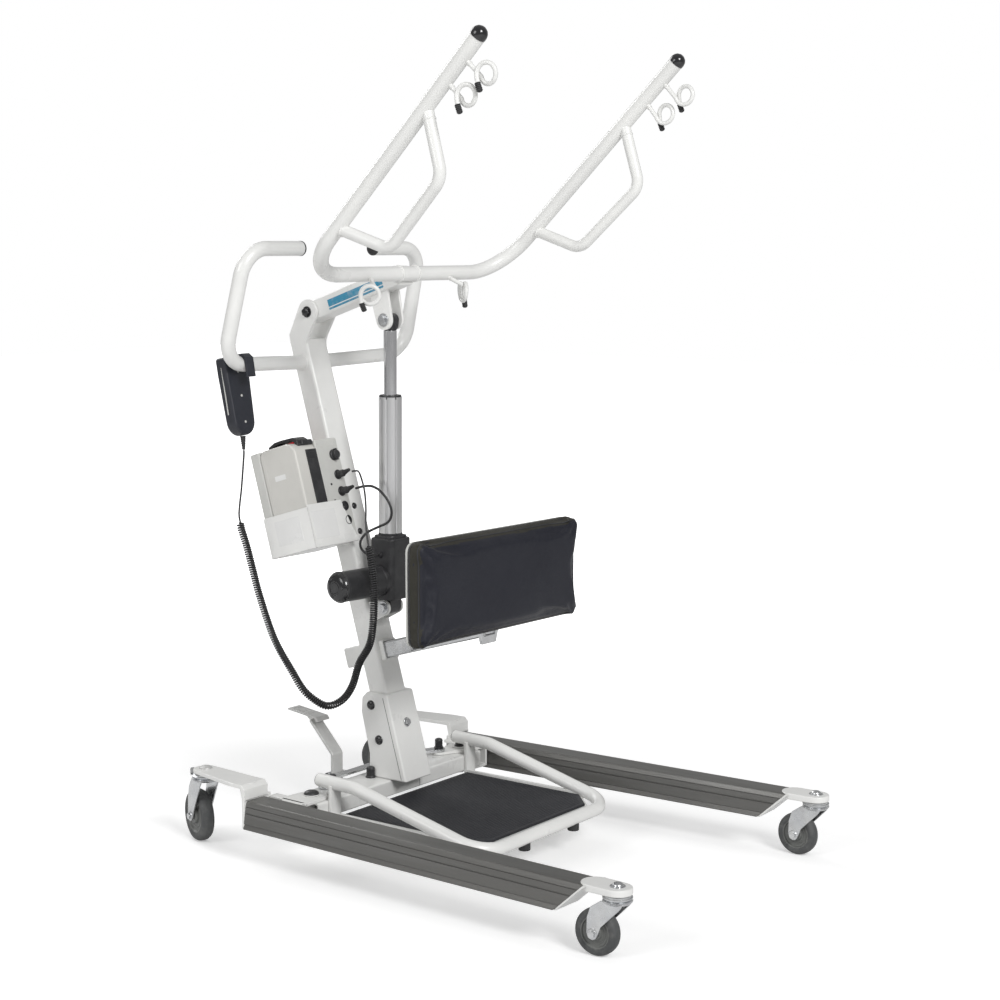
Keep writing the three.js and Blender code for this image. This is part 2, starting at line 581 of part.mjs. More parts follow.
function mastTube() {
  const outline = (inset) => roundedRect(
    -MAST.width / 2 + inset, MAST.width / 2 - inset, inset, MAST.depth - inset, 6 - inset,
  );
  const shell = plateXY(shapeOf(outline(0), outline(MAST.wall)), MAST.bottom, MAST.top);
  const lid = plateXY(shapeOf(outline(0)), MAST.top - 0.5, MAST.top + 6);
  const aboutCheek = ([y, z]) => Math.atan2(z - MAST.top - 20, y - 8);
  const cheekShape = shapeOf([
    ...belt([HEAD.eyeY, HEAD.eyeZ, HEAD.eyeR], [18, MAST.top + 14, 24]).filter(([, z]) => z > MAST.top + 3),
    [3, MAST.top + 3], [MAST.depth - 3, MAST.top + 3],
  ].sort((p, q) => aboutCheek(p) - aboutCheek(q)));
  const cheek = plateYZ(cheekShape, MAST.width / 2 - HEAD.plate, MAST.width / 2);
  const lugShape = shapeOf(belt([LOWER_LUG.y, LOWER_LUG.z, LOWER_LUG.r], [4, LOWER_LUG.z - 4, 20]));
  const lug = cut(plateYZ(lugShape, LOWER_LUG.inner, LOWER_LUG.inner + LOWER_LUG.plate),
    block(-60, 60, 2, 60, LOWER_LUG.z - 60, LOWER_LUG.z + 60));
  const whole = join(shell, lid, cheek, mirrorX(cheek), lug, mirrorX(lug));
  return cut(
    whole,
    bar([-60, HEAD.eyeY, HEAD.eyeZ], [60, HEAD.eyeY, HEAD.eyeZ], BOOM.bolt + GAP, 16),
    bar([-60, LOWER_LUG.y, LOWER_LUG.z], [60, LOWER_LUG.y, LOWER_LUG.z], PIN_R + GAP, 16),
    bar(
      [-60, HANDLE_MAST.y, HANDLE_MAST.z], [60, HANDLE_MAST.y, HANDLE_MAST.z], HANDLE_R + 2 * GAP, 24,
    ),
    kneeArmHole(GAP),
  );
}
add(mast, "mast_tube", mastTube(), paint);

// Welded foot that the mast drops into; its back edge stands upright.
function mastSocket() {
  const [toeY, toeZ] = fromMast(-SOCKET.toe, 0);
  const [topY, topZ] = fromMast(-SOCKET.toe, SOCKET.top);
  const floor = BEAM.top + GAP;
  const side = plateYZ(shapeOf([
    [toeY + (floor - toeZ) * Math.tan(lean), floor], [SOCKET.rear - 14, floor], [SOCKET.rear - 14, topZ - 120],
    [SOCKET.rear + 6, topZ - 40], [SOCKET.rear + 4, topZ - 12], [SOCKET.rear - 8, topZ], [topY, topZ],
  ]), -SOCKET.half, SOCKET.half);
  const halfPocket = MAST.width / 2 + GAP;
  const pocket = block(-halfPocket, halfPocket, -GAP, MAST.depth + GAP, MAST.bottom - GAP, SOCKET.top + 80)
    .rotateX(-lean).translate(0, MAST.footY, MAST.footZ);
  return cut(side, pocket);
}
add(lift, "mast_socket", mastSocket(), paint);

// A pin along X with a hex head and washer at each end.
function crossPin(r, half, head, washer) {
  return join(
    bar([-half, 0, 0], [half, 0, 0], r, 10),
    ...[-1, 1].map((s) => bar([s * (half - 2), 0, 0], [s * half, 0, 0], washer, 14)),
    ...[-1, 1].map((s) => bar([s * (half - 1), 0, 0], [s * (half + 6), 0, 0], head, 6)),
  );
}

const boomBolt = crossPin(BOOM.bolt, MAST.width / 2 + GAP + 2, 9, 11).translate(0, HEAD.eyeY, HEAD.eyeZ);
add(mast, "boom_pivot_bolt", boomBolt, blackPlastic);
const lowerPin = crossPin(PIN_R, LOWER_LUG.inner + LOWER_LUG.plate + GAP + 2, 9, 13)
  .translate(0, LOWER_LUG.y, LOWER_LUG.z);
add(mast, "actuator_lower_pin", lowerPin, zinc);

// ---------------------------------------------------------------- push handle
const [handleMastY, handleMastZ] = fromMast(HANDLE_MAST.y, HANDLE_MAST.z);
const handlePath = (side) => [
  [side * HANDLE_TOP.end, HANDLE_TOP.y, HANDLE_TOP.z], [side * HANDLE_TOP.x, HANDLE_TOP.y, HANDLE_TOP.z],
  [side * HANDLE_LOW.x, HANDLE_LOW.y, HANDLE_LOW.z], [side * (MAST.width / 2 + 8), handleMastY, handleMastZ],
];
const handleCorners = [...handlePath(-1), ...handlePath(1).reverse()];
add(lift, "push_handle", tube(handleCorners, HANDLE_R, HANDLE_BEND, 10), paint);

// ---------------------------------------------------------------- footplate
function footplateFrame() {
  const f = FOOTPLATE;
  const half = (side) => [
    [side * f.rearX, f.rearY, f.z], [side * f.rearX, f.bendY, f.z - 2], [side * f.frontX, f.frontY, f.frontZ],
  ];
  const corners = [...half(-1), ...half(1).reverse()];
  const rail = tube(corners, FOOT_TUBE_R, f.bend, 10);
  const front = PAN.front;
  const outline = [
    [-PAN.half, PAN.rear], [-PAN.half, front + PAN.corner], [-PAN.half + PAN.corner, front],
    [PAN.half - PAN.corner, front], [PAN.half, front + PAN.corner], [PAN.half, PAN.rear],
  ];
  const floor = plateXY(shapeOf(outline), PAN.bottom, PAN.top);
  const lips = [-1, 1].map((s) => block(
    s * (PAN.half - 1), s * (PAN.half + PAN.lip), front + PAN.corner, PAN.rear, PAN.bottom - 6, PAN.lipTop,
  ));
  const hangers = [-1, 1].map((s) => block(
    s * (f.rearX - 15), s * (f.rearX + 14), PAN.rear - 7, PAN.rear, PAN.bottom - 6, f.z - 4,
  ));
  const studs = [-1, 1].map((s) => bar(
    [s * STUD.x, f.frontY, f.frontZ - STUD.drop], [s * STUD.x, f.frontY, f.frontZ], STUD.r, 12,
  ));
  return join(rail, floor, ...lips, ...hangers, ...studs);
}
add(lift, "footplate_frame", footplateFrame(), paint);

function footplateMat() {
  const half = PAN.half - MAT.inset - 1;
  const front = PAN.front + 6;
  const outline = [
    [-half, PAN.rear - 8], [-half, front + PAN.corner], [-half + PAN.corner, front],
    [half - PAN.corner, front], [half, front + PAN.corner], [half, PAN.rear - 8],
  ];
  const bottom = PAN.top + GAP;
  const rest = tube([
    [-FOOTPLATE.frontX, FOOTPLATE.frontY, FOOTPLATE.frontZ],
    [FOOTPLATE.frontX, FOOTPLATE.frontY, FOOTPLATE.frontZ],
  ], FOOT_TUBE_R + 1, FOOTPLATE.bend, 12);
  return cut(plateXY(shapeOf(outline), bottom, bottom + MAT.thick), rest);
}
add(lift, "footplate_mat", footplateMat(), tread);

// ---------------------------------------------------------------- boom
const boom = frame(lift, 0, BOOM_PIVOT.y, BOOM_PIVOT.z, -BOOM.rise);

function boomArm() {
  const w = BOOM.width / 2;
  const h = BOOM.height / 2;
  const profile = (inset) => roundedRect(-w + inset, w - inset, -h + inset, h - inset, 4 - inset / 2);
  const beam = plateXZ(shapeOf(profile(0), profile(BOOM.wall)), -BOOM.reach, BOOM.tail);
  const frameRoom = bar([-200, -BOOM.reach, 0], [200, -BOOM.reach, 0], FRAME_R + 2 * GAP, 24);
  const sleeve = bar([-w, 0, 0], [w, 0, 0], BOOM.bolt + 5, 16);
  const bore = bar([-w - 5, 0, 0], [w + 5, 0, 0], BOOM.bolt + RUN, 16);
  const rise = rad(BOOM.rise);
  const dy = EAR.y - BOOM_PIVOT.y;
  const dz = EAR.z - BOOM_PIVOT.z;
  const eyeY = dy * Math.cos(rise) - dz * Math.sin(rise);
  const eyeZ = dy * Math.sin(rise) + dz * Math.cos(rise);
  const earShape = shapeOf(belt([eyeY, eyeZ, EAR.r], [eyeY - 4, -h + 2, 22]));
  const ear = cut(plateYZ(earShape, EAR.inner, EAR.inner + EAR.plate), block(-w, w, -300, 0, -h + 2, 60));
  const [slotY, slotZ] = [eyeY + EAR.slotShift[0], eyeZ + EAR.slotShift[1]];
  const slot = bar([-60, slotY, slotZ], [60, slotY, slotZ], EAR.slotR, 20);
  return cut(join(beam, sleeve, ear, mirrorX(ear)), frameRoom, bore, slot);
}
add(boom, "boom_arm", boomArm(), paint);

const frameCorners = [
  [-ARM_TIP.x, ARM_TIP.y, ARM_TIP.z], [-CROSS.x, CROSS.y, CROSS.z], [CROSS.x, CROSS.y, CROSS.z],
  [ARM_TIP.x, ARM_TIP.y, ARM_TIP.z],
];
add(lift, "sling_frame", tube(frameCorners, FRAME_R, CROSS.bend, 12, 15), paint);

const frameRoom = tube(frameCorners, FRAME_R + GAP, CROSS.bend, 12, 15);
for (const [side, name] of SIDES) {
  const mirrored = ([x, y, z]) => [side * x, y, z];
  const grip = tube(GRIP.map(mirrored), GRIP_R, GRIP_BEND, 8);
  add(lift, `arm_grip_${name}`, cut(grip, frameRoom), paint);

  // Domed end cap, standing on the tube's end.
  const tip = vec(mirrored([ARM_TIP.x, ARM_TIP.y, ARM_TIP.z]));
  const out = tip.clone().sub(vec(mirrored([CROSS.x, CROSS.y, CROSS.z]))).normalize();
  const r = FRAME_R + 0.6;
  const cap = new THREE.LatheGeometry([
    [0, GAP], [r, GAP], [r, 6], [r * 0.88, 12], [r * 0.6, 16.5], [0, 18.5],
  ].map((p) => new THREE.Vector2(...p)), 16);
  cap.applyQuaternion(new THREE.Quaternion().setFromUnitVectors(new THREE.Vector3(0, 1, 0), out));
  add(lift, `arm_cap_${name}`, outward(cap.translate(...tip.toArray())), blackPlastic);
}

// A pigtail hook: a wire from a tube, once round a ring with room for a strap to slip in, and a tail.
// `ahead` is the level direction that the ring faces toward, and `across` the way it winds.
function pigtail(root, centre, ahead, across, startDegrees) {
  const a = vec(ahead);
  const s = vec(across);
  const up = new THREE.Vector3(0, 0, 1);
  const c = vec(centre);
  const at = (degrees, shift) => c.clone()
    .addScaledVector(a, HOOK_RING * Math.cos(rad(degrees)))
    .addScaledVector(up, HOOK_RING * Math.sin(rad(degrees)))
    .addScaledVector(s, shift);
  const end = 550;
  const points = [vec(root)];
  const steps = Math.round((end - startDegrees) / 36);
  for (let i = 0; i <= steps; i++) {
    const share = i / steps;
    points.push(at(startDegrees + (end - startDegrees) * share, -6 + 12 * share));
  }
  const tail = points[points.length - 1];
  points.push(tail.clone().addScaledVector(up, -16).addScaledVector(a, 3));
  points.push(tail.clone().addScaledVector(up, -27).addScaledVector(a, 8));
  return tubeThrough(points, WIRE_R, 6);
}

const ARM_HOOKS = [
  { root: [303, -70, 1446], centre: [305, -118, 1419] },
  { root: [302, -33, 1410], centre: [304, -76, 1386] },
];
const FRAME_HOOK = { root: [112, 302, 1085], centre: [139, 277, 1052] };
for (const [side, name] of SIDES) {
  const mirrored = ([x, y, z]) => [side * x, y, z];
  ARM_HOOKS.forEach(({ root, centre }, i) => {
    const wire = pigtail(mirrored(root), mirrored(centre), [0, -1, 0], [side, 0, 0], 195);
    add(lift, `arm_hook_${name}_${i + 1}`, cut(wire, frameRoom), paint);
  });
  const wire = pigtail(
    mirrored(FRAME_HOOK.root), mirrored(FRAME_HOOK.centre), [-side * 0.6, -0.8, 0], [side * 0.8, -0.6, 0], 60,
  );
  add(lift, `frame_hook_${name}`, cut(wire, frameRoom), paint);
}

// ---------------------------------------------------------------- actuator
const upY = EAR.y - ACTUATOR.y;
const upZ = EAR.z - ACTUATOR.z;
const actuator = frame(lift, 0, ACTUATOR.y, ACTUATOR.z, THREE.MathUtils.radToDeg(Math.atan2(-upY, upZ)));
const PIN_SPAN = Math.hypot(upY, upZ);

function actuatorHousing() {
  const { half, depth, bottom, top } = HOUSING;
  const body = plateXY(shapeOf(roundedRect(-half, half, -depth, depth, 12, 4)), bottom, top);
  const footWidth = LOWER_LUG.inner - RUN;
  const foot = plateYZ(shapeOf(belt([0, 0, 14], [0, bottom + 8, 15])), -footWidth, footWidth);
  const yaw = rad(MOTOR.yaw);
  const end = [-MOTOR.reach * Math.cos(yaw), MOTOR.reach * Math.sin(yaw), MOTOR.z];
  const neck = [end[0] * 0.93, end[1] * 0.93, MOTOR.z];
  const motor = join(bar([0, 0, MOTOR.z], neck, MOTOR.r, 24), bar(neck, end, MOTOR.r - 1, 24, MOTOR.r - 8));
  const bore = bar([-60, 0, 0], [60, 0, 0], PIN_R + RUN, 16);
  return cut(join(body, foot, motor), bore);
}
add(actuator, "actuator_housing", actuatorHousing(), blackPlastic);

function actuatorTube() {
  const outline = circle(ACTUATOR.tubeR, 24).map(([x, y], i) => {
    const groove = i % 12 === 4 ? 0.9 : 1;
    return [x * groove, y * groove];
  });
  return plateXY(shapeOf(outline, circle(ACTUATOR.rodR + 0.6, 16)), HOUSING.top + GAP, ACTUATOR.tubeTop);
}
add(actuator, "actuator_tube", actuatorTube(), anodised);
add(actuator, "actuator_rod", bar([0, 0, ACTUATOR.rodFoot], [0, 0, ACTUATOR.rodTop], ACTUATOR.rodR, 16), zinc);

function rodEnd() {
  const bottom = ACTUATOR.rodTop + GAP;
  const collar = bar([0, 0, bottom], [0, 0, bottom + 10], ACTUATOR.rodR - 0.2, 16);
  const eye = plateYZ(shapeOf(belt([0, PIN_SPAN, 12.4], [0, bottom + 5, 11])), -EAR.inner + 1, EAR.inner - 1);
  const trimmed = cut(eye, block(-30, 30, -30, 30, bottom - 30, bottom));
  const pin = crossPin(PIN_R, EAR.inner + EAR.plate + 2.6, 9, 13).translate(0, 0, PIN_SPAN);
  return join(collar, trimmed, pin);
}
add(actuator, "rod_end", rodEnd(), blackPlastic);

// ---------------------------------------------------------------- knee pad and arm
const kneeArm = frame(lift, 0, KNEE_ARM.y, KNEE_ARM.z, -KNEE_ARM.rise);

function squareTube(half, wall, y0, y1) {
  const outline = (inset) => roundedRect(
    -half + inset, half - inset, -half + inset, half - inset, Math.max(1.2, 4 - inset),
  );
  return plateXZ(shapeOf(outline(0), outline(wall)), y0, y1);
}
const outerArm = squareTube(KNEE_ARM.outer / 2, KNEE_ARM.wall, KNEE_ARM.front, KNEE_ARM.rear);
add(kneeArm, "knee_arm_outer", outerArm, paint);

// The pad stands turned a little on its arm, about the middle of its back.
const aboutPad = (geometry) => geometry
  .translate(0, -KNEE_PAD.back, 0).rotateZ(rad(KNEE_PAD.yaw)).translate(0, KNEE_PAD.back, 0);

// Zinc inner tube with the upright bracket and board that carry the cushion.
function kneeCarrier() {
  const back = KNEE_PAD.back + GAP;
  const reach = KNEE_ARM.y - back;
  const inner = squareTube(KNEE_INNER / 2, 2.5, -reach - 30, KNEE_ARM.innerRear)
    .rotateX(rad(-KNEE_ARM.rise)).translate(0, KNEE_ARM.y, KNEE_ARM.z);
  const nearPad = aboutPad(block(-60, 60, back - 80, back, 300, 600));
  const board = plateXZ(shapeOf(roundedRect(
    -KNEE_PAD.half + 3, KNEE_PAD.half - 3, KNEE_PAD.bottom + 3, KNEE_PAD.top - 3, KNEE_PAD.corner - 4,
  )), back, back + KNEE_PAD.board);
  const upright = plateXZ(shapeOf([[-20, 402], [20, 402], [34, 446], [34, 590], [-34, 590], [-34, 446]]),
    back + KNEE_PAD.board - 0.5, back + KNEE_PAD.board + 6);
  return join(cut(inner, nearPad), aboutPad(board), aboutPad(upright));
}
add(lift, "knee_pad_carrier", kneeCarrier(), zinc);

const cushion = plateXZ(shapeOf(roundedRect(
  -KNEE_PAD.half, KNEE_PAD.half, KNEE_PAD.bottom, KNEE_PAD.top, KNEE_PAD.corner,
)), KNEE_PAD.front, KNEE_PAD.back);
add(lift, "knee_cushion", aboutPad(cushion), vinyl);

// ---------------------------------------------------------------- control box, battery and tray
function controlUnit() {
  const main = block(BOX.split + GAP, -MAST.width / 2 - GAP, BOX.front, BOX.rear, BOX.bottom, BOX.top);
  const back = block(BOX.near, BOX.split + 1, BOX.shelf + GAP, BOX.rear, BOX.bottom, BOX.top);
  const jacks = [HANDSET_JACK_Z, ACTUATOR_JACK_Z, ...SPARE_JACKS_Z].map((z) => bar(
    [JACK_X, BOX.front - 3, z], [JACK_X, BOX.front + 3, z], 9, 10,
  ));
  const capRing = bar([JACK_X, BOX.front - 3, CHARGE_CAP_Z], [JACK_X, BOX.front + 3, CHARGE_CAP_Z], 11, 10);
  const capKnob = bar([JACK_X, BOX.front - 12, CHARGE_CAP_Z], [JACK_X, BOX.front, CHARGE_CAP_Z], 8, 8);
  const wellR = STOP.stem + 0.8 + RUN;
  const stopWell = bar([STOP.x, STOP.y, BOX.top - 11], [STOP.x, STOP.y, BOX.top + 2], wellR, 10);
  return cut(join(main, back, ...jacks, capRing, capKnob), stopWell);
}
add(mast, "control_unit", controlUnit(), greyPlastic);

function batteryPack() {
  const body = block(BOX.near, BOX.split, BOX.front - 1, BOX.shelf, BOX.bottom, BOX.top);
  const handle = plateYZ(shapeOf([
    [BOX.front, BOX.top - 1], [BOX.shelf - 4, BOX.top - 1], [BOX.shelf - 14, BOX.top + 6], [40, BOX.top + 12],
    [8, BOX.top + 12], [BOX.front + 6, BOX.top + 5],
  ]), BOX.near + 16, BOX.split - 10);
  return join(body, handle);
}
add(mast, "battery_pack", batteryPack(), greyPlastic);

// Folded sheet cradle round the bottom of the box, with a slanting end toward the mast.
function batteryTray() {
  const w = TRAY.wall;
  const front = BOX.front - 1 - GAP - w;
  const low = BOX.bottom - GAP - w;
  const nearX = BOX.near - GAP - w;
  const frontWall = plateXZ(shapeOf([
    [nearX, low], [-MAST.width / 2 - 2, low], [TRAY.cut + 4, low + 40], [TRAY.cut - 8, TRAY.top],
    [nearX, TRAY.top],
  ]), front, front + w);
  const side = block(nearX, nearX + w, front, BOX.rear, low, TRAY.top - 4);
  const floor = block(nearX, -MAST.width / 2 - GAP, front, BOX.rear, low, low + w);
  const blanks = [ACTUATOR_JACK_Z, ...SPARE_JACKS_Z].map((z) => bar(
    [JACK_X, front - 5, z], [JACK_X, front + 9, z], 10.2 + GAP, 10,
  ));
  return cut(join(frontWall, side, floor), ...blanks);
}
add(mast, "battery_tray", batteryTray(), paint);

// Mushroom stop button on the unit's top.
const stopButton = turned([
  [0, 0], [STOP.stem, 0], [STOP.stem, 9], [17, 10], [18.5, 13], [17, 17], [10, 20.5], [0, 21.5],
], STOP.x, STOP.y, 16).translate(0, 0, BOX.top - 6);
add(mast, "stop_button", stopButton, redPlastic);

// A plug pushed into a jack on the unit's front face, with a tapered relief at its back.
function plug(z) {
  const face = BOX.front - 3 - GAP;
  return join(
    bar([JACK_X, face, z], [JACK_X, face - 13, z], 7, 14),
    bar([JACK_X, face - 12, z], [JACK_X, face - 30, z + 3], 5.4, 12, 3.2),
  );
}
add(mast, "handset_plug", plug(HANDSET_JACK_Z), blackPlastic);
add(mast, "actuator_plug", plug(ACTUATOR_JACK_Z), blackPlastic);

// ---------------------------------------------------------------- handset
const handset = frame(lift, HANDSET.x, HANDSET.y, HANDSET.z, -HANDSET.lean);
const BUTTONS = [["up", 36], ["down", 12]];
const HOOK_SLACK = 1;

// Centre of the push handle's lower tube beside the handset, as (y, z) in the handset's frame.
function handleAtHandset() {
  const share = (HANDLE_LOW.x + HANDSET.x) / (HANDLE_LOW.x - MAST.width / 2 - 8);
  const y = HANDLE_LOW.y + (handleMastY - HANDLE_LOW.y) * share - HANDSET.y;
  const z = HANDLE_LOW.z + (handleMastZ - HANDLE_LOW.z) * share - HANDSET.z;
  const a = rad(HANDSET.lean);
  return [y * Math.cos(a) - z * Math.sin(a), y * Math.sin(a) + z * Math.cos(a)];
}

function handsetBody() {
  const { width, thick, length, tail } = HANDSET;
  const half = length / 2;
  const w = width / 2;
  const bottomArc = Array.from({ length: 9 }, (_, i) => {
    const a = rad(180 + (180 * i) / 8);
    return [tail * Math.cos(a), -half + tail + tail * Math.sin(a)];
  });
  const outline = [
    ...bottomArc, [w, half - 18], [w - 1, half - 5], [w - 7, half], [-w + 7, half], [-w + 1, half - 5],
    [-w, half - 18],
  ];
  const body = plateXZ(shapeOf(outline), -thick / 2, thick / 2);
  const pockets = BUTTONS.map(([, z]) => block(-9, 9, thick / 2 - 4, thick / 2 + 2, z - 7, z + 7));
  const [hy, hz] = handleAtHandset();
  const room = HANDLE_R + HOOK_SLACK;
  const wall = 4.5;
  const top = hz + room;
  const strap = plateYZ(shapeOf([
    [hy - room - wall, hz - 26], [hy - room, hz - 26], [hy - room, hz], [hy, top], [-10, top], [-8, half - 9],
    [6, half - 9], [6, top + wall + 6], [0, top + wall + 6], [-3, top + wall], [hy - room + 4, top + wall],
    [hy - room - wall, top - 4],
  ]), -11, 11);
  const tubeRoom = tube(handleCorners, room, HANDLE_BEND, 12)
    .translate(-HANDSET.x, -HANDSET.y, -HANDSET.z).rotateX(rad(HANDSET.lean));
  return cut(join(body, strap), ...pockets, tubeRoom);
}
add(handset, "handset_body", handsetBody(), blackPlastic);

for (const [name, z] of BUTTONS) {
  const y = HANDSET.thick / 2;
  add(handset, `handset_button_${name}`, block(-8.4, 8.4, y - 1.6, y + 1.8, z - 6.4, z + 6.4), greyPlastic);
}

// Tapered strain relief under the handset, leaning forward of the body so that it hangs plumb.
const RELIEF_TOP = [HANDSET.x, 537.2, 783.5];
const RELIEF_TIP = [HANDSET.x, 535.5, 757];
add(lift, "handset_strain_relief", bar(RELIEF_TOP, RELIEF_TIP, 5.5, 12, 3), blackPlastic);

// ---------------------------------------------------------------- cords
// Handset cord: a plain lead, a curly stretch that hangs in a loop, and a plain lead to its plug.
const CORD_UPPER = [
  [-208, 535.4, 756.6], [-208.5, 535, 748], [-210, 535, 735], [-212, 536, 710], [-214, 538, 680],
  [-216.5, 540, 655], [-218, 541, 636], [-217.5, 540.5, 626], [-216, 540, 619.4],
];
const COIL = [
  [-215.9, 539.9, 619], [-215, 538, 605], [-209, 531, 573], [-202, 522, 525], [-195, 512, 475],
  [-180, 490, 393],
  [-163, 460, 330], [-152, 443, 296], [-140, 425, 276], [-126, 404, 264], [-111, 380, 276], [-104, 360, 305],
  [-101, 344, 351], [-97, 321, 390], [-94, 314, 436], [-93, 313, 481], [-93, 315, 525], [-92, 322, 558],
  [-91, 327, 578],
];
const CORD_LOWER = [
  [-90.9, 327.1, 578.4], [-90, 330, 588], [-87, 335, 603], [-82, 341, 622], [-79, 343, 642], [-79, 344, 664],
  [-79, 347, 684], [-76, 355, 700], [-69, 366, 710], [-60, 378, 713.5], [-52.5, 389, 713], [-50, 401.5, 711],
];
add(lift, "handset_cord_upper", cord(CORD_UPPER, CORD_R, 14), rubber);
add(lift, "handset_cord_coil", cord(COIL, COIL_R, 26), rubber);
add(lift, "handset_cord_lower", cord(CORD_LOWER, CORD_R, 18), rubber);

// Actuator lead, held at both ends: out of the box, a slack loop beside the actuator and into its housing.
const ACTUATOR_LEAD = [
  [-50, 392.8, 678.8], [-50, 384, 681.4], [-49, 370, 684.5], [-48, 352, 685], [-45, 334, 676], [-41, 318, 656],
  [-39, 313, 636], [-43, 318, 619], [-54, 334, 609], [-66, 352, 598], [-72, 363, 582], [-70, 363, 566],
  [-60, 355, 555], [-46, 350, 551], [-33, 349.5, 550.5],
];
add(lift, "actuator_cable", cord(ACTUATOR_LEAD, CABLE_R, 34), rubber);

// ---------------------------------------------------------------- stand the whole thing on its centre
const bounds = new THREE.Box3().setFromObject(lift, true);
lift.position.y = -(bounds.min.y + bounds.max.y) / 2;

export default lift;
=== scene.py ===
import math

import bmesh
import bpy
from mathutils import Matrix, Quaternion, Vector
from mathutils.bvhtree import BVHTree


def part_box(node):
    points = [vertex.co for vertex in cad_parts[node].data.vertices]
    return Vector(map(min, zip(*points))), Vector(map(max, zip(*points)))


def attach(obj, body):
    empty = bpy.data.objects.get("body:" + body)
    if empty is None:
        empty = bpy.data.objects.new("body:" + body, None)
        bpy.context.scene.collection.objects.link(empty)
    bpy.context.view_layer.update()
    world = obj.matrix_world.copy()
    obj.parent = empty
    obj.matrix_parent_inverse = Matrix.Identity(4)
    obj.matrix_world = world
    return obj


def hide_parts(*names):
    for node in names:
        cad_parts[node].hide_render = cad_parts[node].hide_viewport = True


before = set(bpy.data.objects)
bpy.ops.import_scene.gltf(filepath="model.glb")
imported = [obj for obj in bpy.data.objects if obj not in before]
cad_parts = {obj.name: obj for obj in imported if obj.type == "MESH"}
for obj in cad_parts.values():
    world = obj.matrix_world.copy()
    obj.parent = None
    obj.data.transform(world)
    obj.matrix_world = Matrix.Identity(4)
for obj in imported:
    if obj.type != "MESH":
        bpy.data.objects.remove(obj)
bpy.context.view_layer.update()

# Every size below is in millimetres, in the frame the lift was drawn in, and DESIGN brings it into place.
# "near" is the -X side and "far" is the +X side.
MM = 0.001
BEAM_FRONT = 320
DESIGN = Matrix.Translation((0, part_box("base_beam")[0].y - BEAM_FRONT * MM, 0)) @ Matrix.Scale(MM, 4)
UP = Vector((0, 0, 1))
SIDES = ((-1, "near"), (1, "far"))


def moved(x, y, z):
    return Matrix.Translation((x, y, z))


def turned_x(degrees):
    return Matrix.Rotation(math.radians(degrees), 4, "X")


def turned_z(degrees):
    return Matrix.Rotation(math.radians(degrees), 4, "Z")


MAST_LEAN = 16.36
BOOM_RISE = 18.5
HANDSET_LEAN = 10.7
ACTUATOR_LEAN = 0.413
MAST = DESIGN @ moved(0, 287.2, 112) @ turned_x(-MAST_LEAN)
BOOM = DESIGN @ moved(0, 532, 1013) @ turned_x(-BOOM_RISE)
KNEE = DESIGN @ moved(0, 341, 365) @ turned_x(-MAST_LEAN)
ACTUATOR = DESIGN @ moved(0, 350, 446) @ turned_x(ACTUATOR_LEAN)
HANDSET = DESIGN @ moved(-208, 551.5, 858) @ turned_x(-HANDSET_LEAN)
LEG_SPREAD = 1.9
LEG_PIVOT = (225, 358)


def leg_place(side):
    """Place of a leg's parts, drawn for the far side and mirrored for the near one."""
    return DESIGN @ moved(side * LEG_PIVOT[0], LEG_PIVOT[1], 0) @ turned_z(side * LEG_SPREAD)


def mirrored(side):
    return Matrix.Diagonal((side, 1, 1, 1))


# ---------------------------------------------------------------- camera
camera = bpy.data.objects.new("camera", bpy.data.cameras.new("camera"))
bpy.context.scene.collection.objects.link(camera)
camera.location = (-2.9166, -2.2113, 1.1447)
camera.rotation_euler = (math.radians(82.65), 0, math.radians(-53.17))
camera.data.sensor_width = 36
camera.data.lens = 71.5
bpy.context.scene.camera = camera


# ---------------------------------------------------------------- cords
def smooth_line(points, step):
    """Points about one step apart on a smooth curve through the given ones."""
    points = [Vector(p) for p in points]
    ends = [2 * points[0] - points[1], *points, 2 * points[-1] - points[-2]]
    line = []
    for before, a, b, after in zip(ends, ends[1:], ends[2:], ends[3:]):
        count = max(2, round((b - a).length / step))
        for i in range(count):
            t = i / count
            line.append(0.5 * (
                2 * a + (b - before) * t
                + (2 * before - 5 * a + 4 * b - after) * t ** 2
                + (3 * a - before - 3 * b + after) * t ** 3
            ))
    line.append(points[-1])
    return line


def curled(line, radius, pitch, points_per_turn):
    """A helix wound along a line, easing from the line itself at both ends."""
    lengths = [0.0]
    for a, b in zip(line, line[1:]):
        lengths.append(lengths[-1] + (b - a).length)
    turns = round(lengths[-1] / pitch)
    side = (line[1] - line[0]).orthogonal().normalized()
    wound = []
    k = 0
    steps = turns * points_per_turn
    for i in range(steps + 1):
        along = lengths[-1] * i / steps
        while k < len(line) - 2 and lengths[k + 1] < along:
            k += 1
        a, b = line[k], line[k + 1]
        heading = (b - a).normalized()
        side = (side - heading * side.dot(heading)).normalized()
        centre = a.lerp(b, (along - lengths[k]) / (lengths[k + 1] - lengths[k]))
        angle = math.tau * turns * i / steps
        ease = min(1, 1.2 * i / points_per_turn, 1.2 * (steps - i) / points_per_turn)
        wound.append(
            centre + radius * ease * (side * math.cos(angle) + heading.cross(side) * math.sin(angle))
        )
    return wound


def cord_curve(name, line, diameter):
    """A curve object through a line of design points, as thick as the cord."""
    data = bpy.data.curves.new(name, "CURVE")
    data.dimensions = "3D"
    spline = data.splines.new("POLY")
    spline.points.add(len(line) - 1)
    for point, place in zip(spline.points, line):
        point.co = (*(DESIGN @ place), 1)
        point.radius = diameter * MM / 2
    spline.use_smooth = True
    data.bevel_depth = 1
    data.bevel_resolution = 2
    data.use_fill_caps = True
    cord = bpy.data.objects.new(name, data)
    bpy.context.scene.collection.objects.link(cord)
    return cord


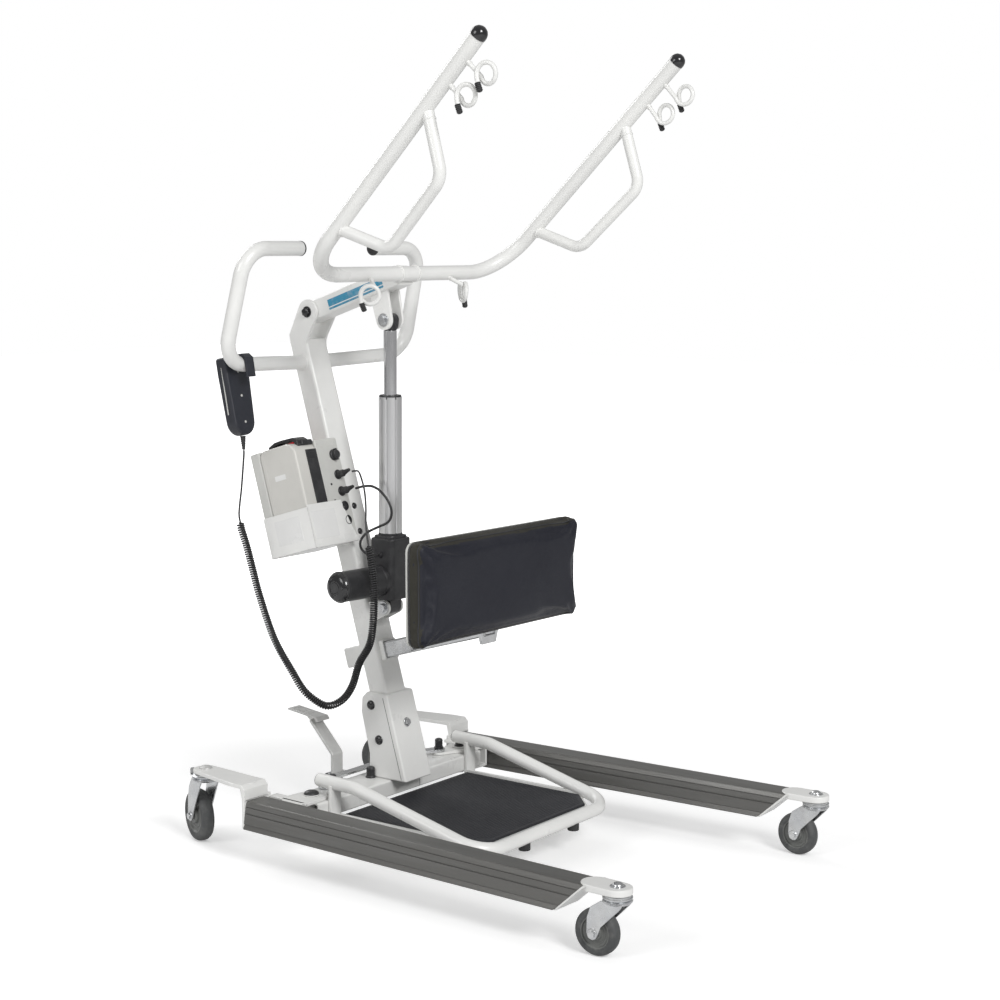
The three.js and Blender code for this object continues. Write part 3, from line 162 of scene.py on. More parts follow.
LEAD_UPPER = [
    (-208, 535.4, 756.6), (-208.5, 535, 748), (-210, 535, 735), (-212, 536, 710), (-214, 538, 680),
    (-216.5, 540, 655), (-218, 541, 636), (-217.5, 540.5, 626), (-216, 540, 619.4),
]
COIL = [
    (-215.9, 539.9, 619), (-215, 538, 605), (-209, 531, 573), (-202, 522, 525), (-195, 512, 475),
    (-180, 490, 393), (-163, 460, 330), (-152, 443, 296), (-140, 425, 276), (-126, 404, 264),
    (-111, 380, 276), (-104, 360, 305), (-101, 344, 351), (-97, 321, 390), (-94, 314, 436), (-93, 313, 481),
    (-93, 315, 525), (-92, 322, 558), (-91, 327, 578),
]
LEAD_LOWER = [
    (-90.9, 327.1, 578.4), (-90, 330, 588), (-87, 335, 603), (-82, 341, 622), (-79, 343, 642),
    (-79, 344, 664), (-79, 347, 684), (-76, 355, 700), (-69, 366, 710), (-60, 378, 713.5),
    (-52.5, 389, 713), (-50, 401.5, 711),
]
ACTUATOR_LEAD = [
    (-50, 392.8, 678.8), (-50, 384, 681.4), (-49, 370, 684.5), (-48, 352, 685), (-45, 334, 676),
    (-41, 318, 656), (-39, 313, 636), (-43, 318, 619), (-54, 334, 609), (-66, 352, 598), (-72, 363, 582),
    (-70, 363, 566), (-60, 355, 555), (-46, 350, 551), (-33, 349.5, 550.5),
]
WIRE = 3.6
LEAD = 5.0
COIL_RADIUS = 5.9
COIL_PITCH = 4.4

handset_line = [
    *smooth_line(LEAD_UPPER, 6)[:-1],
    *curled(smooth_line(COIL, 4), COIL_RADIUS, COIL_PITCH, 12),
    *smooth_line(LEAD_LOWER, 6)[1:],
]
handset_cord = cord_curve("handset_cord", handset_line, WIRE)
actuator_line = list(reversed(smooth_line(ACTUATOR_LEAD, 5)))
actuator_lead = cord_curve("actuator_lead", actuator_line, LEAD)
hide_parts("handset_cord_upper", "handset_cord_coil", "handset_cord_lower")
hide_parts("actuator_cable")
for cord in (handset_cord, actuator_lead):
    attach(cord, "root")


# ---------------------------------------------------------------- shader groups
def new_group(name, inputs, outputs):
    group = bpy.data.node_groups.new(name, "ShaderNodeTree")
    for label, kind, value in inputs:
        socket = group.interface.new_socket(label, in_out="INPUT", socket_type=f"NodeSocket{kind}")
        if value is not None:
            socket.default_value = value
    for label, kind in outputs:
        group.interface.new_socket(label, in_out="OUTPUT", socket_type=f"NodeSocket{kind}")
    return group, group.nodes.new("NodeGroupInput"), group.nodes.new("NodeGroupOutput")


def node(tree, kind, **settings):
    made = tree.nodes.new(f"ShaderNode{kind}")
    for key, value in settings.items():
        setattr(made, key, value)
    return made


def arithmetic(tree, operation, a, b):
    """A maths node whose inputs are sockets or numbers."""
    made = node(tree, "Math", operation=operation)
    for socket, value in zip(made.inputs, (a, b)):
        if isinstance(value, bpy.types.NodeSocket):
            tree.links.new(value, socket)
        else:
            socket.default_value = value
    return made.outputs[0]


def remapped(tree, value, low, high, to_low, to_high):
    made = node(tree, "MapRange")
    tree.links.new(value, made.inputs["Value"])
    for label, number in (("From Min", low), ("From Max", high), ("To Min", to_low), ("To Max", to_high)):
        if isinstance(number, bpy.types.NodeSocket):
            tree.links.new(number, made.inputs[label])
        else:
            made.inputs[label].default_value = number
    return made.outputs["Result"]


def noise(tree, vector, scale, detail=4, roughness=0.55):
    made = node(tree, "TexNoise")
    tree.links.new(vector, made.inputs["Vector"])
    if isinstance(scale, bpy.types.NodeSocket):
        tree.links.new(scale, made.inputs["Scale"])
    else:
        made.inputs["Scale"].default_value = scale
    made.inputs["Detail"].default_value = detail
    made.inputs["Roughness"].default_value = roughness
    return made.outputs["Fac"]


def make_surface_grain():
    """Fine grain for the bump, and broad patches for the gloss."""
    group, given, result = new_group(
        "surface_grain",
        [("Vector", "Vector", None), ("Grain Size", "Float", 600.0), ("Patch Size", "Float", 9.0)],
        [("Height", "Float"), ("Patches", "Float")],
    )
    fine = noise(group, given.outputs["Vector"], given.outputs["Grain Size"], 3)
    halved = arithmetic(group, "MULTIPLY", given.outputs["Grain Size"], 0.31)
    middle = noise(group, given.outputs["Vector"], halved, 2)
    height = arithmetic(group, "ADD", fine, arithmetic(group, "MULTIPLY", middle, 0.8))
    group.links.new(height, result.inputs["Height"])
    patches = noise(group, given.outputs["Vector"], given.outputs["Patch Size"], 5, 0.6)
    group.links.new(remapped(group, patches, 0.3, 0.7, 0.0, 1.0), result.inputs["Patches"])
    return group


def make_edge_wear():
    """Rubbed corners, broken up so that they look handled."""
    group, given, result = new_group(
        "edge_wear", [("Vector", "Vector", None), ("Amount", "Float", 0.5)], [("Mask", "Float")],
    )
    corner = remapped(group, node(group, "NewGeometry").outputs["Pointiness"], 0.52, 0.60, 0.0, 1.0)
    broken = remapped(group, noise(group, given.outputs["Vector"], 55.0, 6, 0.65), 0.46, 0.62, 0.0, 1.0)
    rubbed = arithmetic(group, "MULTIPLY", corner, broken)
    scuffs = remapped(group, noise(group, given.outputs["Vector"], 21.0, 8, 0.75), 0.70, 0.76, 0.0, 0.6)
    both = arithmetic(group, "MAXIMUM", rubbed, scuffs)
    group.links.new(arithmetic(group, "MULTIPLY", both, given.outputs["Amount"]), result.inputs["Mask"])
    return group


def make_tone_shift():
    """The base colour, drifting a little toward a second tone over the surface."""
    group, given, result = new_group(
        "tone_shift",
        [("Vector", "Vector", None), ("Tone", "Color", (0.8, 0.8, 0.8, 1)),
            ("Second Tone", "Color", (0.7, 0.7, 0.7, 1)),
         ("Drift Size", "Float", 6.0)],
        [("Color", "Color")],
    )
    drift = remapped(
        group, noise(group, given.outputs["Vector"], given.outputs["Drift Size"], 5, 0.6), 0.32, 0.68, 0.0,
        1.0,
    )
    mix = node(group, "Mix", data_type="RGBA")
    group.links.new(drift, mix.inputs["Factor"])
    group.links.new(given.outputs["Tone"], mix.inputs[6])
    group.links.new(given.outputs["Second Tone"], mix.inputs[7])
    group.links.new(mix.outputs[2], result.inputs["Color"])
    return group


def make_settled_dust():
    """Dust that lies on faces that look upward."""
    group, given, result = new_group(
        "settled_dust", [("Vector", "Vector", None), ("Amount", "Float", 0.2)], [("Mask", "Float")],
    )
    split = node(group, "SeparateXYZ")
    group.links.new(node(group, "NewGeometry").outputs["Normal"], split.inputs[0])
    facing = remapped(group, split.outputs["Z"], 0.35, 1.0, 0.0, 1.0)
    cloud = remapped(group, noise(group, given.outputs["Vector"], 14.0, 6, 0.7), 0.35, 0.75, 0.0, 1.0)
    lying = arithmetic(group, "MULTIPLY", facing, cloud)
    group.links.new(arithmetic(group, "MULTIPLY", lying, given.outputs["Amount"]), result.inputs["Mask"])
    return group


def make_hide_grain():
    """Pebbled cells with soft creases, for vinyl."""
    group, given, result = new_group(
        "hide_grain", [("Vector", "Vector", None), ("Cell Size", "Float", 420.0)], [("Height", "Float")],
    )
    cells = node(group, "TexVoronoi", feature="DISTANCE_TO_EDGE")
    group.links.new(given.outputs["Vector"], cells.inputs["Vector"])
    group.links.new(given.outputs["Cell Size"], cells.inputs["Scale"])
    pebble = remapped(group, cells.outputs["Distance"], 0.0, 0.18, 0.0, 1.0)
    crease = noise(group, given.outputs["Vector"], 38.0, 5, 0.6)
    total = arithmetic(group, "ADD", arithmetic(group, "MULTIPLY", pebble, 0.5), crease)
    group.links.new(total, result.inputs["Height"])
    return group


SURFACE_GRAIN = make_surface_grain()
EDGE_WEAR = make_edge_wear()
TONE_SHIFT = make_tone_shift()
SETTLED_DUST = make_settled_dust()
HIDE_GRAIN = make_hide_grain()


# ---------------------------------------------------------------- materials
def placed_group(tree, group, vector, **values):
    made = node(tree, "Group", node_tree=group)
    tree.links.new(vector, made.inputs["Vector"])
    for label, value in values.items():
        made.inputs[label.replace("_", " ")].default_value = value
    return made


def blended(tree, mask, a, b):
    """Colour a, turning to colour b where the mask is 1."""
    mix = node(tree, "Mix", data_type="RGBA")
    tree.links.new(mask, mix.inputs["Factor"])
    tree.links.new(a, mix.inputs[6])
    mix.inputs[7].default_value = (*b, 1)
    return mix.outputs[2]


def finish(name, tone, second, gloss, grain=(600.0, 0.02), metallic=0.0, wear=(0.3, (0.5, 0.5, 0.5)), dust=0.1,
           stretch=(1, 1, 1), patch=9.0, coat=0.0, sheen=0.0, hide=None, specular=0.5):
    """A whole material: drifting tone, worn edges, dust, patchy gloss and a fine grain in the bump."""
    material = bpy.data.materials.new(name)
    material.use_nodes = True
    tree = material.node_tree
    shader = tree.nodes["Principled BSDF"]
    place = node(tree, "Mapping")
    place.inputs["Scale"].default_value = stretch
    tree.links.new(node(tree, "TexCoord").outputs["Object"], place.inputs["Vector"])
    vector = place.outputs["Vector"]
    shift = placed_group(
        tree, TONE_SHIFT, vector, Tone=(*tone, 1), Second_Tone=(*second, 1), Drift_Size=patch * 0.7,
    )
    worn = placed_group(tree, EDGE_WEAR, vector, Amount=wear[0])
    dusty = placed_group(tree, SETTLED_DUST, vector, Amount=dust)
    colour = blended(tree, worn.outputs["Mask"], shift.outputs["Color"], wear[1])
    colour = blended(tree, dusty.outputs["Mask"], colour, (0.55, 0.54, 0.52))
    tree.links.new(colour, shader.inputs["Base Color"])
    grains = placed_group(tree, SURFACE_GRAIN, vector, Grain_Size=grain[0], Patch_Size=patch)
    rough = remapped(tree, grains.outputs["Patches"], 0.0, 1.0, gloss[0], gloss[1])
    rough = arithmetic(tree, "ADD", rough, arithmetic(tree, "MULTIPLY", dusty.outputs["Mask"], 0.3))
    tree.links.new(rough, shader.inputs["Roughness"])
    height = grains.outputs["Height"]
    if hide:
        height = placed_group(tree, HIDE_GRAIN, vector, Cell_Size=hide).outputs["Height"]
    bump = node(tree, "Bump")
    bump.inputs["Strength"].default_value = grain[1]
    bump.inputs["Distance"].default_value = MM
    tree.links.new(height, bump.inputs["Height"])
    tree.links.new(bump.outputs["Normal"], shader.inputs["Normal"])
    shader.inputs["Metallic"].default_value = metallic
    shader.inputs["Coat Weight"].default_value = coat
    shader.inputs["Coat Roughness"].default_value = 0.12
    shader.inputs["Sheen Weight"].default_value = sheen
    shader.inputs["Specular IOR Level"].default_value = specular
    return material


POWDER_COAT = finish(
    "white_powder_coat", (0.83, 0.83, 0.81), (0.77, 0.77, 0.755), (0.24, 0.36), (900.0, 0.03),
    wear=(0.09, (0.50, 0.49, 0.47)),
    dust=0.10, coat=0.25,
)
ANODISED = finish(
    "anodised_leg", (0.18, 0.177, 0.168), (0.145, 0.143, 0.136), (0.34, 0.48), (500.0, 0.10), metallic=0.6,
    wear=(0.10, (0.4, 0.4, 0.4)), dust=0.08, stretch=(1, 0.04, 1),
)
TUBE_ALUMINIUM = finish(
    "satin_aluminium", (0.72, 0.72, 0.72), (0.62, 0.62, 0.63), (0.26, 0.38), (700.0, 0.08), metallic=0.9,
    wear=(0.2, (0.8, 0.8, 0.8)), dust=0.05, stretch=(1, 1, 0.04),
)
PEDAL_STEEL = finish(
    "pedal_steel", (0.66, 0.66, 0.65), (0.58, 0.58, 0.57), (0.32, 0.46), (600.0, 0.1), metallic=0.3,
    wear=(0.5, (0.35, 0.34, 0.33)), dust=0.2,
)
ZINC = finish(
    "bright_zinc", (0.74, 0.75, 0.75), (0.60, 0.61, 0.63), (0.18, 0.34), (300.0, 0.06), metallic=1.0,
    wear=(0.4, (0.45, 0.43, 0.40)), dust=0.12, patch=40.0,
)
CHROME = finish(
    "polished_rod", (0.82, 0.82, 0.83), (0.76, 0.76, 0.78), (0.08, 0.16), (1200.0, 0.02), metallic=1.0,
    wear=(0.1, (0.5, 0.5, 0.5)), dust=0.03, patch=25.0,
)
BLACK_PLASTIC = finish(
    "satin_black_plastic", (0.014, 0.014, 0.016), (0.022, 0.022, 0.024), (0.32, 0.48), (1400.0, 0.16),
    wear=(0.25, (0.16, 0.16, 0.16)), dust=0.08,
)
BLACK_GLOSS = finish(
    "glossy_black_plastic", (0.008, 0.008, 0.009), (0.013, 0.013, 0.015), (0.10, 0.2), (900.0, 0.03),
    wear=(0.2, (0.2, 0.2, 0.2)), dust=0.05, coat=0.4,
)
BLACK_RUBBER = finish(
    "black_rubber", (0.018, 0.018, 0.019), (0.03, 0.03, 0.031), (0.55, 0.75), (800.0, 0.25),
    wear=(0.3, (0.12, 0.12, 0.12)), dust=0.2,
)
TYRE = finish(
    "caster_tyre", (0.055, 0.058, 0.06), (0.08, 0.082, 0.082), (0.5, 0.7), (500.0, 0.2),
    wear=(0.5, (0.2, 0.2, 0.19)), dust=0.3, patch=30.0,
)
HUB = finish(
    "caster_hub", (0.11, 0.115, 0.11), (0.15, 0.152, 0.145), (0.3, 0.45), (700.0, 0.12),
    wear=(0.4, (0.3, 0.3, 0.28)), dust=0.15, patch=30.0,
)
GREY_CASE = finish(
    "grey_case", (0.60, 0.60, 0.575), (0.55, 0.55, 0.525), (0.38, 0.5), (1300.0, 0.2),
    wear=(0.2, (0.36, 0.36, 0.34)), dust=0.15,
)
BATTERY_CASE = finish(
    "battery_case", (0.64, 0.63, 0.595), (0.58, 0.57, 0.54), (0.34, 0.46), (1300.0, 0.2),
    wear=(0.2, (0.4, 0.39, 0.36)), dust=0.15,
)
LABEL = finish(
    "blank_label", (0.80, 0.80, 0.79), (0.75, 0.75, 0.74), (0.2, 0.3), (300.0, 0.03),
    wear=(0.1, (0.5, 0.5, 0.5)), dust=0.1,
)
STOP_RED = finish(
    "stop_red", (0.55, 0.014, 0.022), (0.46, 0.012, 0.018), (0.18, 0.28), (900.0, 0.05),
    wear=(0.2, (0.3, 0.05, 0.05)), dust=0.06, coat=0.3,
)
STRIPE_BLUE = finish(
    "boom_stripe", (0.05, 0.26, 0.42), (0.06, 0.30, 0.46), (0.2, 0.3), (300.0, 0.03),
    wear=(0.3, (0.6, 0.6, 0.6)), dust=0.05,
)
HANDSET_SHELL = finish(
    "handset_shell", (0.016, 0.018, 0.026), (0.024, 0.026, 0.035), (0.3, 0.45), (1500.0, 0.2),
    wear=(0.3, (0.13, 0.13, 0.14)), dust=0.08,
)
VINYL = finish(
    "cushion_vinyl", (0.006, 0.007, 0.014), (0.010, 0.011, 0.019), (0.34, 0.50), (420.0, 0.40),
    wear=(0.12, (0.04, 0.04, 0.05)), dust=0.03, coat=0.03, sheen=0.03, hide=420.0, specular=0.32,
)
VINYL_EDGE = finish(
    "gusset_vinyl", (0.016, 0.015, 0.010), (0.024, 0.022, 0.015), (0.38, 0.52), (420.0, 0.40),
    wear=(0.15, (0.07, 0.07, 0.06)), dust=0.04, sheen=0.04, hide=420.0, specular=0.35,
)
THREAD = finish(
    "seam_thread", (0.02, 0.021, 0.026), (0.03, 0.031, 0.036), (0.6, 0.75), (1800.0, 0.3),
    wear=(0.1, (0.1, 0.1, 0.1)), dust=0.05,
)
MAT_RUBBER = finish(
    "foot_mat", (0.010, 0.011, 0.015), (0.016, 0.017, 0.022), (0.5, 0.64), (520.0, 0.4),
    wear=(0.1, (0.06, 0.06, 0.06)), dust=0.03, patch=14.0,
)
CORD_SKIN = finish(
    "cord_skin", (0.014, 0.014, 0.015), (0.022, 0.022, 0.023), (0.36, 0.5), (900.0, 0.1),
    wear=(0.1, (0.1, 0.1, 0.1)), dust=0.06,
)
for cord in (handset_cord, actuator_lead):
    cord.data.materials.append(CORD_SKIN)


# ---------------------------------------------------------------- shaping
SMOOTH_ANGLE = math.radians(38)


def bevelled(bm, edges, width, segments=3):
    if width > 0 and edges:
        bmesh.ops.bevel(bm, geom=edges, offset=width, offset_type="OFFSET", segments=segments, profile=0.5,
                        affect="EDGES", material=-1, clamp_overlap=True)


def sharp_edges(bm, degrees=25):
    return [e for e in bm.edges if len(e.link_faces) == 2 and e.calc_face_angle(0) > math.radians(degrees)]


def facing(direction):
    """Turns +Z to a direction."""
    return Vector(direction).to_track_quat("Z", "Y").to_matrix().to_4x4()


END_RING = 4


def part_way(a, b):
    """The point just past a on the way to b, no further than half the way."""
    return a + (b - a).normalized() * min(END_RING, (b - a).length / 2)


class Shape:
    """One mesh put together from separate forms, in millimetres in a frame of its own."""

    def __init__(self, place=DESIGN):
        self.bm = bmesh.new()
        self.place = place

    def put(self, form, matrix=None):
        if matrix:
            bmesh.ops.transform(form, matrix=matrix, verts=form.verts)
        bmesh.ops.recalc_face_normals(form, faces=form.faces)
        mesh = bpy.data.meshes.new("form")
        form.to_mesh(mesh)
        form.free()
        self.bm.from_mesh(mesh)
        bpy.data.meshes.remove(mesh)
        return self

    def brick(self, x0, x1, y0, y1, z0, z1, edge=1.0, segments=3, matrix=None):
        form = bmesh.new()
        bmesh.ops.create_cube(form, size=1)
        bmesh.ops.scale(form, vec=(abs(x1 - x0), abs(y1 - y0), abs(z1 - z0)), verts=form.verts)
        bmesh.ops.translate(form, vec=((x0 + x1) / 2, (y0 + y1) / 2, (z0 + z1) / 2), verts=form.verts)
        bevelled(form, form.edges[:], edge, segments)
        return self.put(form, matrix)

    def rod(self, a, b, r, r_end=None, sides=28, edge=0.0, matrix=None):
        a, b = Vector(a), Vector(b)
        form = bmesh.new()
        far_r = r if r_end is None else r_end
        bmesh.ops.create_cone(form, cap_ends=True, segments=sides, radius1=r, radius2=far_r,
                              depth=(b - a).length)
        if edge:
            bevelled(form, [e for e in form.edges if e.calc_face_angle(0) > math.radians(50)], edge)
        turn = Matrix.Translation((a + b) / 2) @ facing(b - a)
        return self.put(form, turn if matrix is None else matrix @ turn)

    def hexagon(self, a, b, r, edge=0.6, matrix=None):
        return self.rod(a, b, r, sides=6, edge=edge, matrix=matrix)

    def lathe(self, profile, foot=(0, 0, 0), axis=(0, 0, 1), steps=32, matrix=None):
        """Spins a [radius, height] line about an axis that starts at foot."""
        form = bmesh.new()
        verts = [form.verts.new((r, 0, h)) for r, h in profile]
        edges = [form.edges.new(pair) for pair in zip(verts, verts[1:])]
        bmesh.ops.spin(form, geom=verts + edges, cent=(0, 0, 0), axis=(0, 0, 1), angle=math.tau, steps=steps,
                       use_merge=True)
        bmesh.ops.remove_doubles(form, verts=form.verts, dist=0.01)
        turn = Matrix.Translation(foot) @ facing(axis)
        return self.put(form, turn if matrix is None else matrix @ turn)

    def plate(self, outline, low, high, plane="xy", edge=0.8, segments=2, matrix=None):
        """An outline given thickness along the axis that its plane leaves out."""
        spots = {"xy": lambda p: (p[0], p[1], low), "yz": lambda p: (low, p[0], p[1]),
                 "xz": lambda p: (p[0], low, p[1])}[plane]
        push = {"xy": (0, 0, high - low), "yz": (high - low, 0, 0), "xz": (0, high - low, 0)}[plane]
        form = bmesh.new()
        face = form.faces.new([form.verts.new(spots(p)) for p in outline])
        raised = bmesh.ops.extrude_face_region(form, geom=[face])["geom"]
        bmesh.ops.translate(form, vec=push, verts=[v for v in raised if isinstance(v, bmesh.types.BMVert)])
        bmesh.ops.recalc_face_normals(form, faces=form.faces)
        bevelled(form, sharp_edges(form), edge, segments)
        return self.put(form, matrix)

    def hollow(self, outer, inner, low, high, plane="xy", edge=0.6, matrix=None):
        """A tube between two outlines that have as many points each."""
        spots = {"xy": lambda p, h: (p[0], p[1], h), "yz": lambda p, h: (h, p[0], p[1]),
                 "xz": lambda p, h: (p[0], h, p[1])}[plane]
        form = bmesh.new()
        loops = []
        for outline, height in ((outer, low), (outer, high), (inner, high), (inner, low)):
            verts = [form.verts.new(spots(p, height)) for p in outline]
            loops.append([form.edges.new(pair) for pair in zip(verts, verts[1:] + verts[:1])])
        for first, second in zip(loops, loops[1:] + loops[:1]):
            bmesh.ops.bridge_loops(form, edges=first + second)
        bmesh.ops.recalc_face_normals(form, faces=form.faces)
        bevelled(form, sharp_edges(form, 50), edge, 2)
        return self.put(form, matrix)

    def sweep(self, line, r, sides=24, edge=0.0, matrix=None):
        """A round bar along a line of points; r is one radius, or one for each point."""
        line = [Vector(p) for p in line]
        if not isinstance(r, (list, tuple)):
            # A second ring close to each end keeps the worn rim from running down the bar.
            line.insert(1, part_way(line[0], line[1]))
            line.insert(-1, part_way(line[-1], line[-2]))
        radii = r if isinstance(r, (list, tuple)) else [r] * len(line)
        form = bmesh.new()
        heading = (line[1] - line[0]).normalized()
        ring = bmesh.ops.create_circle(form, cap_ends=False, segments=sides, radius=radii[0])["verts"]
        bmesh.ops.transform(form, matrix=Matrix.Translation(line[0]) @ facing(heading), verts=ring)
        first = list(ring)
        edges = list(form.edges)
        for i in range(1, len(line)):
            before = (line[i] - line[i - 1]).normalized()
            after = before
            if i + 1 < len(line):
                after = (line[i + 1] - line[i]).normalized()
            bisector = (before + after).normalized()
            grown = bmesh.ops.extrude_edge_only(form, edges=edges)["geom"]
            verts = [g for g in grown if isinstance(g, bmesh.types.BMVert)]
            edges = [g for g in grown if isinstance(g, bmesh.types.BMEdge)]
            turn = heading.rotation_difference(bisector).to_matrix().to_4x4()
            size = Matrix.Scale(radii[i] / radii[i - 1], 4)
            move = Matrix.Translation(line[i]) @ turn @ size @ Matrix.Translation(-line[i - 1])
            bmesh.ops.transform(form, matrix=move, verts=verts)
            heading = bisector
        for loop in (first, verts):
            bmesh.ops.contextual_create(form, geom=loop)
        if edge:
            rim = [e for e in form.edges if e.calc_face_angle(0) > math.radians(60)]
            bevelled(form, rim, edge)
        return self.put(form, matrix)

    def done(self, name, body, material, replaces=(), slot=None):
        """Makes the object, in metres in its place, riding on its body."""
        bmesh.ops.transform(self.bm, matrix=self.place, verts=self.bm.verts)
        bmesh.ops.remove_doubles(self.bm, verts=self.bm.verts, dist=1e-6)
        bmesh.ops.dissolve_degenerate(self.bm, dist=1e-6, edges=self.bm.edges)
        if self.place.determinant() < 0:
            bmesh.ops.reverse_faces(self.bm, faces=self.bm.faces)
        mesh = bpy.data.meshes.new(name)
        self.bm.to_mesh(mesh)
        self.bm.free()
        mesh.shade_smooth()
        mesh.set_sharp_from_angle(angle=SMOOTH_ANGLE)
        mesh.materials.append(material)
        made = bpy.data.objects.new(name, mesh)
        bpy.context.scene.collection.objects.link(made)
        made.modifiers.new("even_shading", "WEIGHTED_NORMAL").keep_sharp = True
        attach(made, body)
        if replaces:
            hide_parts(*([replaces] if isinstance(replaces, str) else replaces))
        return made


def arc(cx, cy, r, start, end, steps):
    return [
        (cx + r * math.cos(math.radians(start + (end - start) * i / steps)),
         cy + r * math.sin(math.radians(start + (end - start) * i / steps)))
        for i in range(steps + 1)
    ]


def rounded_box(x0, x1, y0, y1, r, steps=4):
    return (arc(x1 - r, y1 - r, r, 0, 90, steps) + arc(x0 + r, y1 - r, r, 90, 180, steps)
            + arc(x0 + r, y0 + r, r, 180, 270, steps) + arc(x1 - r, y0 + r, r, 270, 360, steps))


def belt(a, b, steps=10):
    """The outline round two discs, each (x, y, radius)."""
    heading = math.degrees(math.atan2(b[1] - a[1], b[0] - a[0]))
    lean = math.degrees(math.acos((a[2] - b[2]) / math.hypot(b[0] - a[0], b[1] - a[1])))
    return (arc(*b, heading - lean, heading + lean, steps)
            + arc(*a, heading + lean, heading + 360 - lean, steps))


def bent(corners, radius, step=7):
    """Corner points joined by straight runs, with each corner rounded."""
    line = [Vector(corners[0])]
    for before, corner, after in zip(corners, corners[1:], corners[2:]):
        corner = Vector(corner)
        back = (Vector(before) - corner).normalized()
        ahead = (Vector(after) - corner).normalized()
        half = back.angle(ahead) / 2
        centre = corner + (back + ahead).normalized() * radius / math.sin(half)
        start = corner + back * radius / math.tan(half) - centre
        turn = math.pi - 2 * half
        axis = -back.cross(ahead).normalized()
        steps = max(2, math.ceil(math.degrees(turn) / step))
        line += [centre + Quaternion(axis, turn * k / steps) @ start for k in range(steps + 1)]
    line.append(Vector(corners[-1]))
    return line


DOME = [(0, 1), (0.35, 0.97), (0.65, 0.84), (0.88, 0.55), (0.98, 0.22), (1, 0), (1, -0.4), (0, -0.4)]


def dome(shape, foot, axis, r, height, matrix=None):
    """A round plug or cap that stands on a face."""
    return shape.lathe([(x * r, h * height) for x, h in DOME], foot, axis, 28, matrix)


def bolt_head(shape, foot, axis, washer, flats, height, matrix=None):
    """A washer with a hex head on it, standing on a face."""
    foot, axis = Vector(foot), Vector(axis).normalized()
    shape.rod(foot - axis * 0.4, foot + axis * 1.8, washer, edge=0.5, matrix=matrix)
    shape.hexagon(foot + axis * 1.5, foot + axis * (1.8 + height), flats, matrix=matrix)
    return shape


# ---------------------------------------------------------------- sling frame, grips, caps and hooks
ARM_TIP = Vector((304, -98, 1479))
CROSS = Vector((289, 305, 1089))
FRAME_R = 14
GRIP_R = 10.75
GRIP = [(299, 11, 1365), (302, -21, 1253), (287, 105, 1135), (292, 220, 1172)]


def on_side(side, p):
    return (side * p[0], p[1], p[2])


def weld_bead(shape, centre, axis, r, bead=1.7):
    """A raised bead round a joint."""
    ring = arc(r, 0, bead, 0, 360, 6)
    return shape.lathe(ring, centre, axis, 28)


frame_corners = [on_side(-1, ARM_TIP), on_side(-1, CROSS), on_side(1, CROSS), on_side(1, ARM_TIP)]
sling = Shape().sweep(bent(frame_corners, 98, 4), FRAME_R, 32)
for low, high in ((-25.5, -23.2), (23.2, 25.5)):
    sling.rod((low, CROSS.y, CROSS.z), (high, CROSS.y, CROSS.z), 16.4, edge=0.8)
sling.done("sling_tube", "boom", POWDER_COAT, "sling_frame")

for side, name in SIDES:
    line = bent([on_side(side, p) for p in GRIP], 34, 6)
    grip = Shape().sweep(line, GRIP_R, 24)
    for end, following in ((line[0], line[1]), (line[-1], line[-2])):
        away = (following - end).normalized()
        weld_bead(grip, end + away * 15.5, away, GRIP_R - 0.3)
    grip.done(f"arm_grip_tube_{name}", "boom", POWDER_COAT, f"arm_grip_{name}")

    tip = Vector(on_side(side, ARM_TIP))
    out = (tip - Vector(on_side(side, CROSS))).normalized()
    Shape().lathe(
        [(0, -6), (11.8, -6), (11.8, 0.2), (14.6, 0.3), (14.6, 4.5), (14.2, 7), (12.9, 11), (10, 15),
            (5.4, 17.8), (0, 18.4)],
        tip, out,
    ).done(f"arm_plug_{name}", "boom", BLACK_GLOSS, f"arm_cap_{name}")

HOOK_RING = 17
WIRE_R = 4


def pigtail(name, root, centre, ahead, across, start):
    """A coated wire off the tube, once round a ring that a strap slips into, and a tail with a rubber tip."""
    ahead, across, centre = Vector(ahead), Vector(across), Vector(centre)
    end = 550
    steps = round((end - start) / 9)
    line = [Vector(root)]
    for i in range(steps + 1):
        share = i / steps
        angle = math.radians(start + (end - start) * share)
        line.append(
            centre + HOOK_RING * (ahead * math.cos(angle) + UP * math.sin(angle)) + across * (12 * share - 6)
        )
    last = line[-1]
    line += [last - UP * 8 + ahead * 1, last - UP * 16 + ahead * 3, last - UP * 26 + ahead * 7]
    weld = (line[1] - line[0]).normalized()
    hook = Shape().sweep(line, WIRE_R, 14, edge=1)
    weld_bead(hook, line[0] + weld * (FRAME_R + 0.5), weld, WIRE_R, 1.3)
    hook.done(f"{name}_wire", "boom", POWDER_COAT, name)
    down = (line[-1] - line[-2]).normalized()
    ribs = [(0, -0.6), (3.6, -0.6)]
    for i in range(5):
        ribs += [(4.4, i * 3), (5.3, i * 3 + 0.5), (5.3, i * 3 + 1.7), (4.4, i * 3 + 2.2)]
    ribs += [(4.2, 15.4), (2.2, 16.3), (0, 16.4)]
    Shape().lathe(ribs, line[-1] - down * 15, down, 20).done(f"{name}_tip", "boom", BLACK_RUBBER)


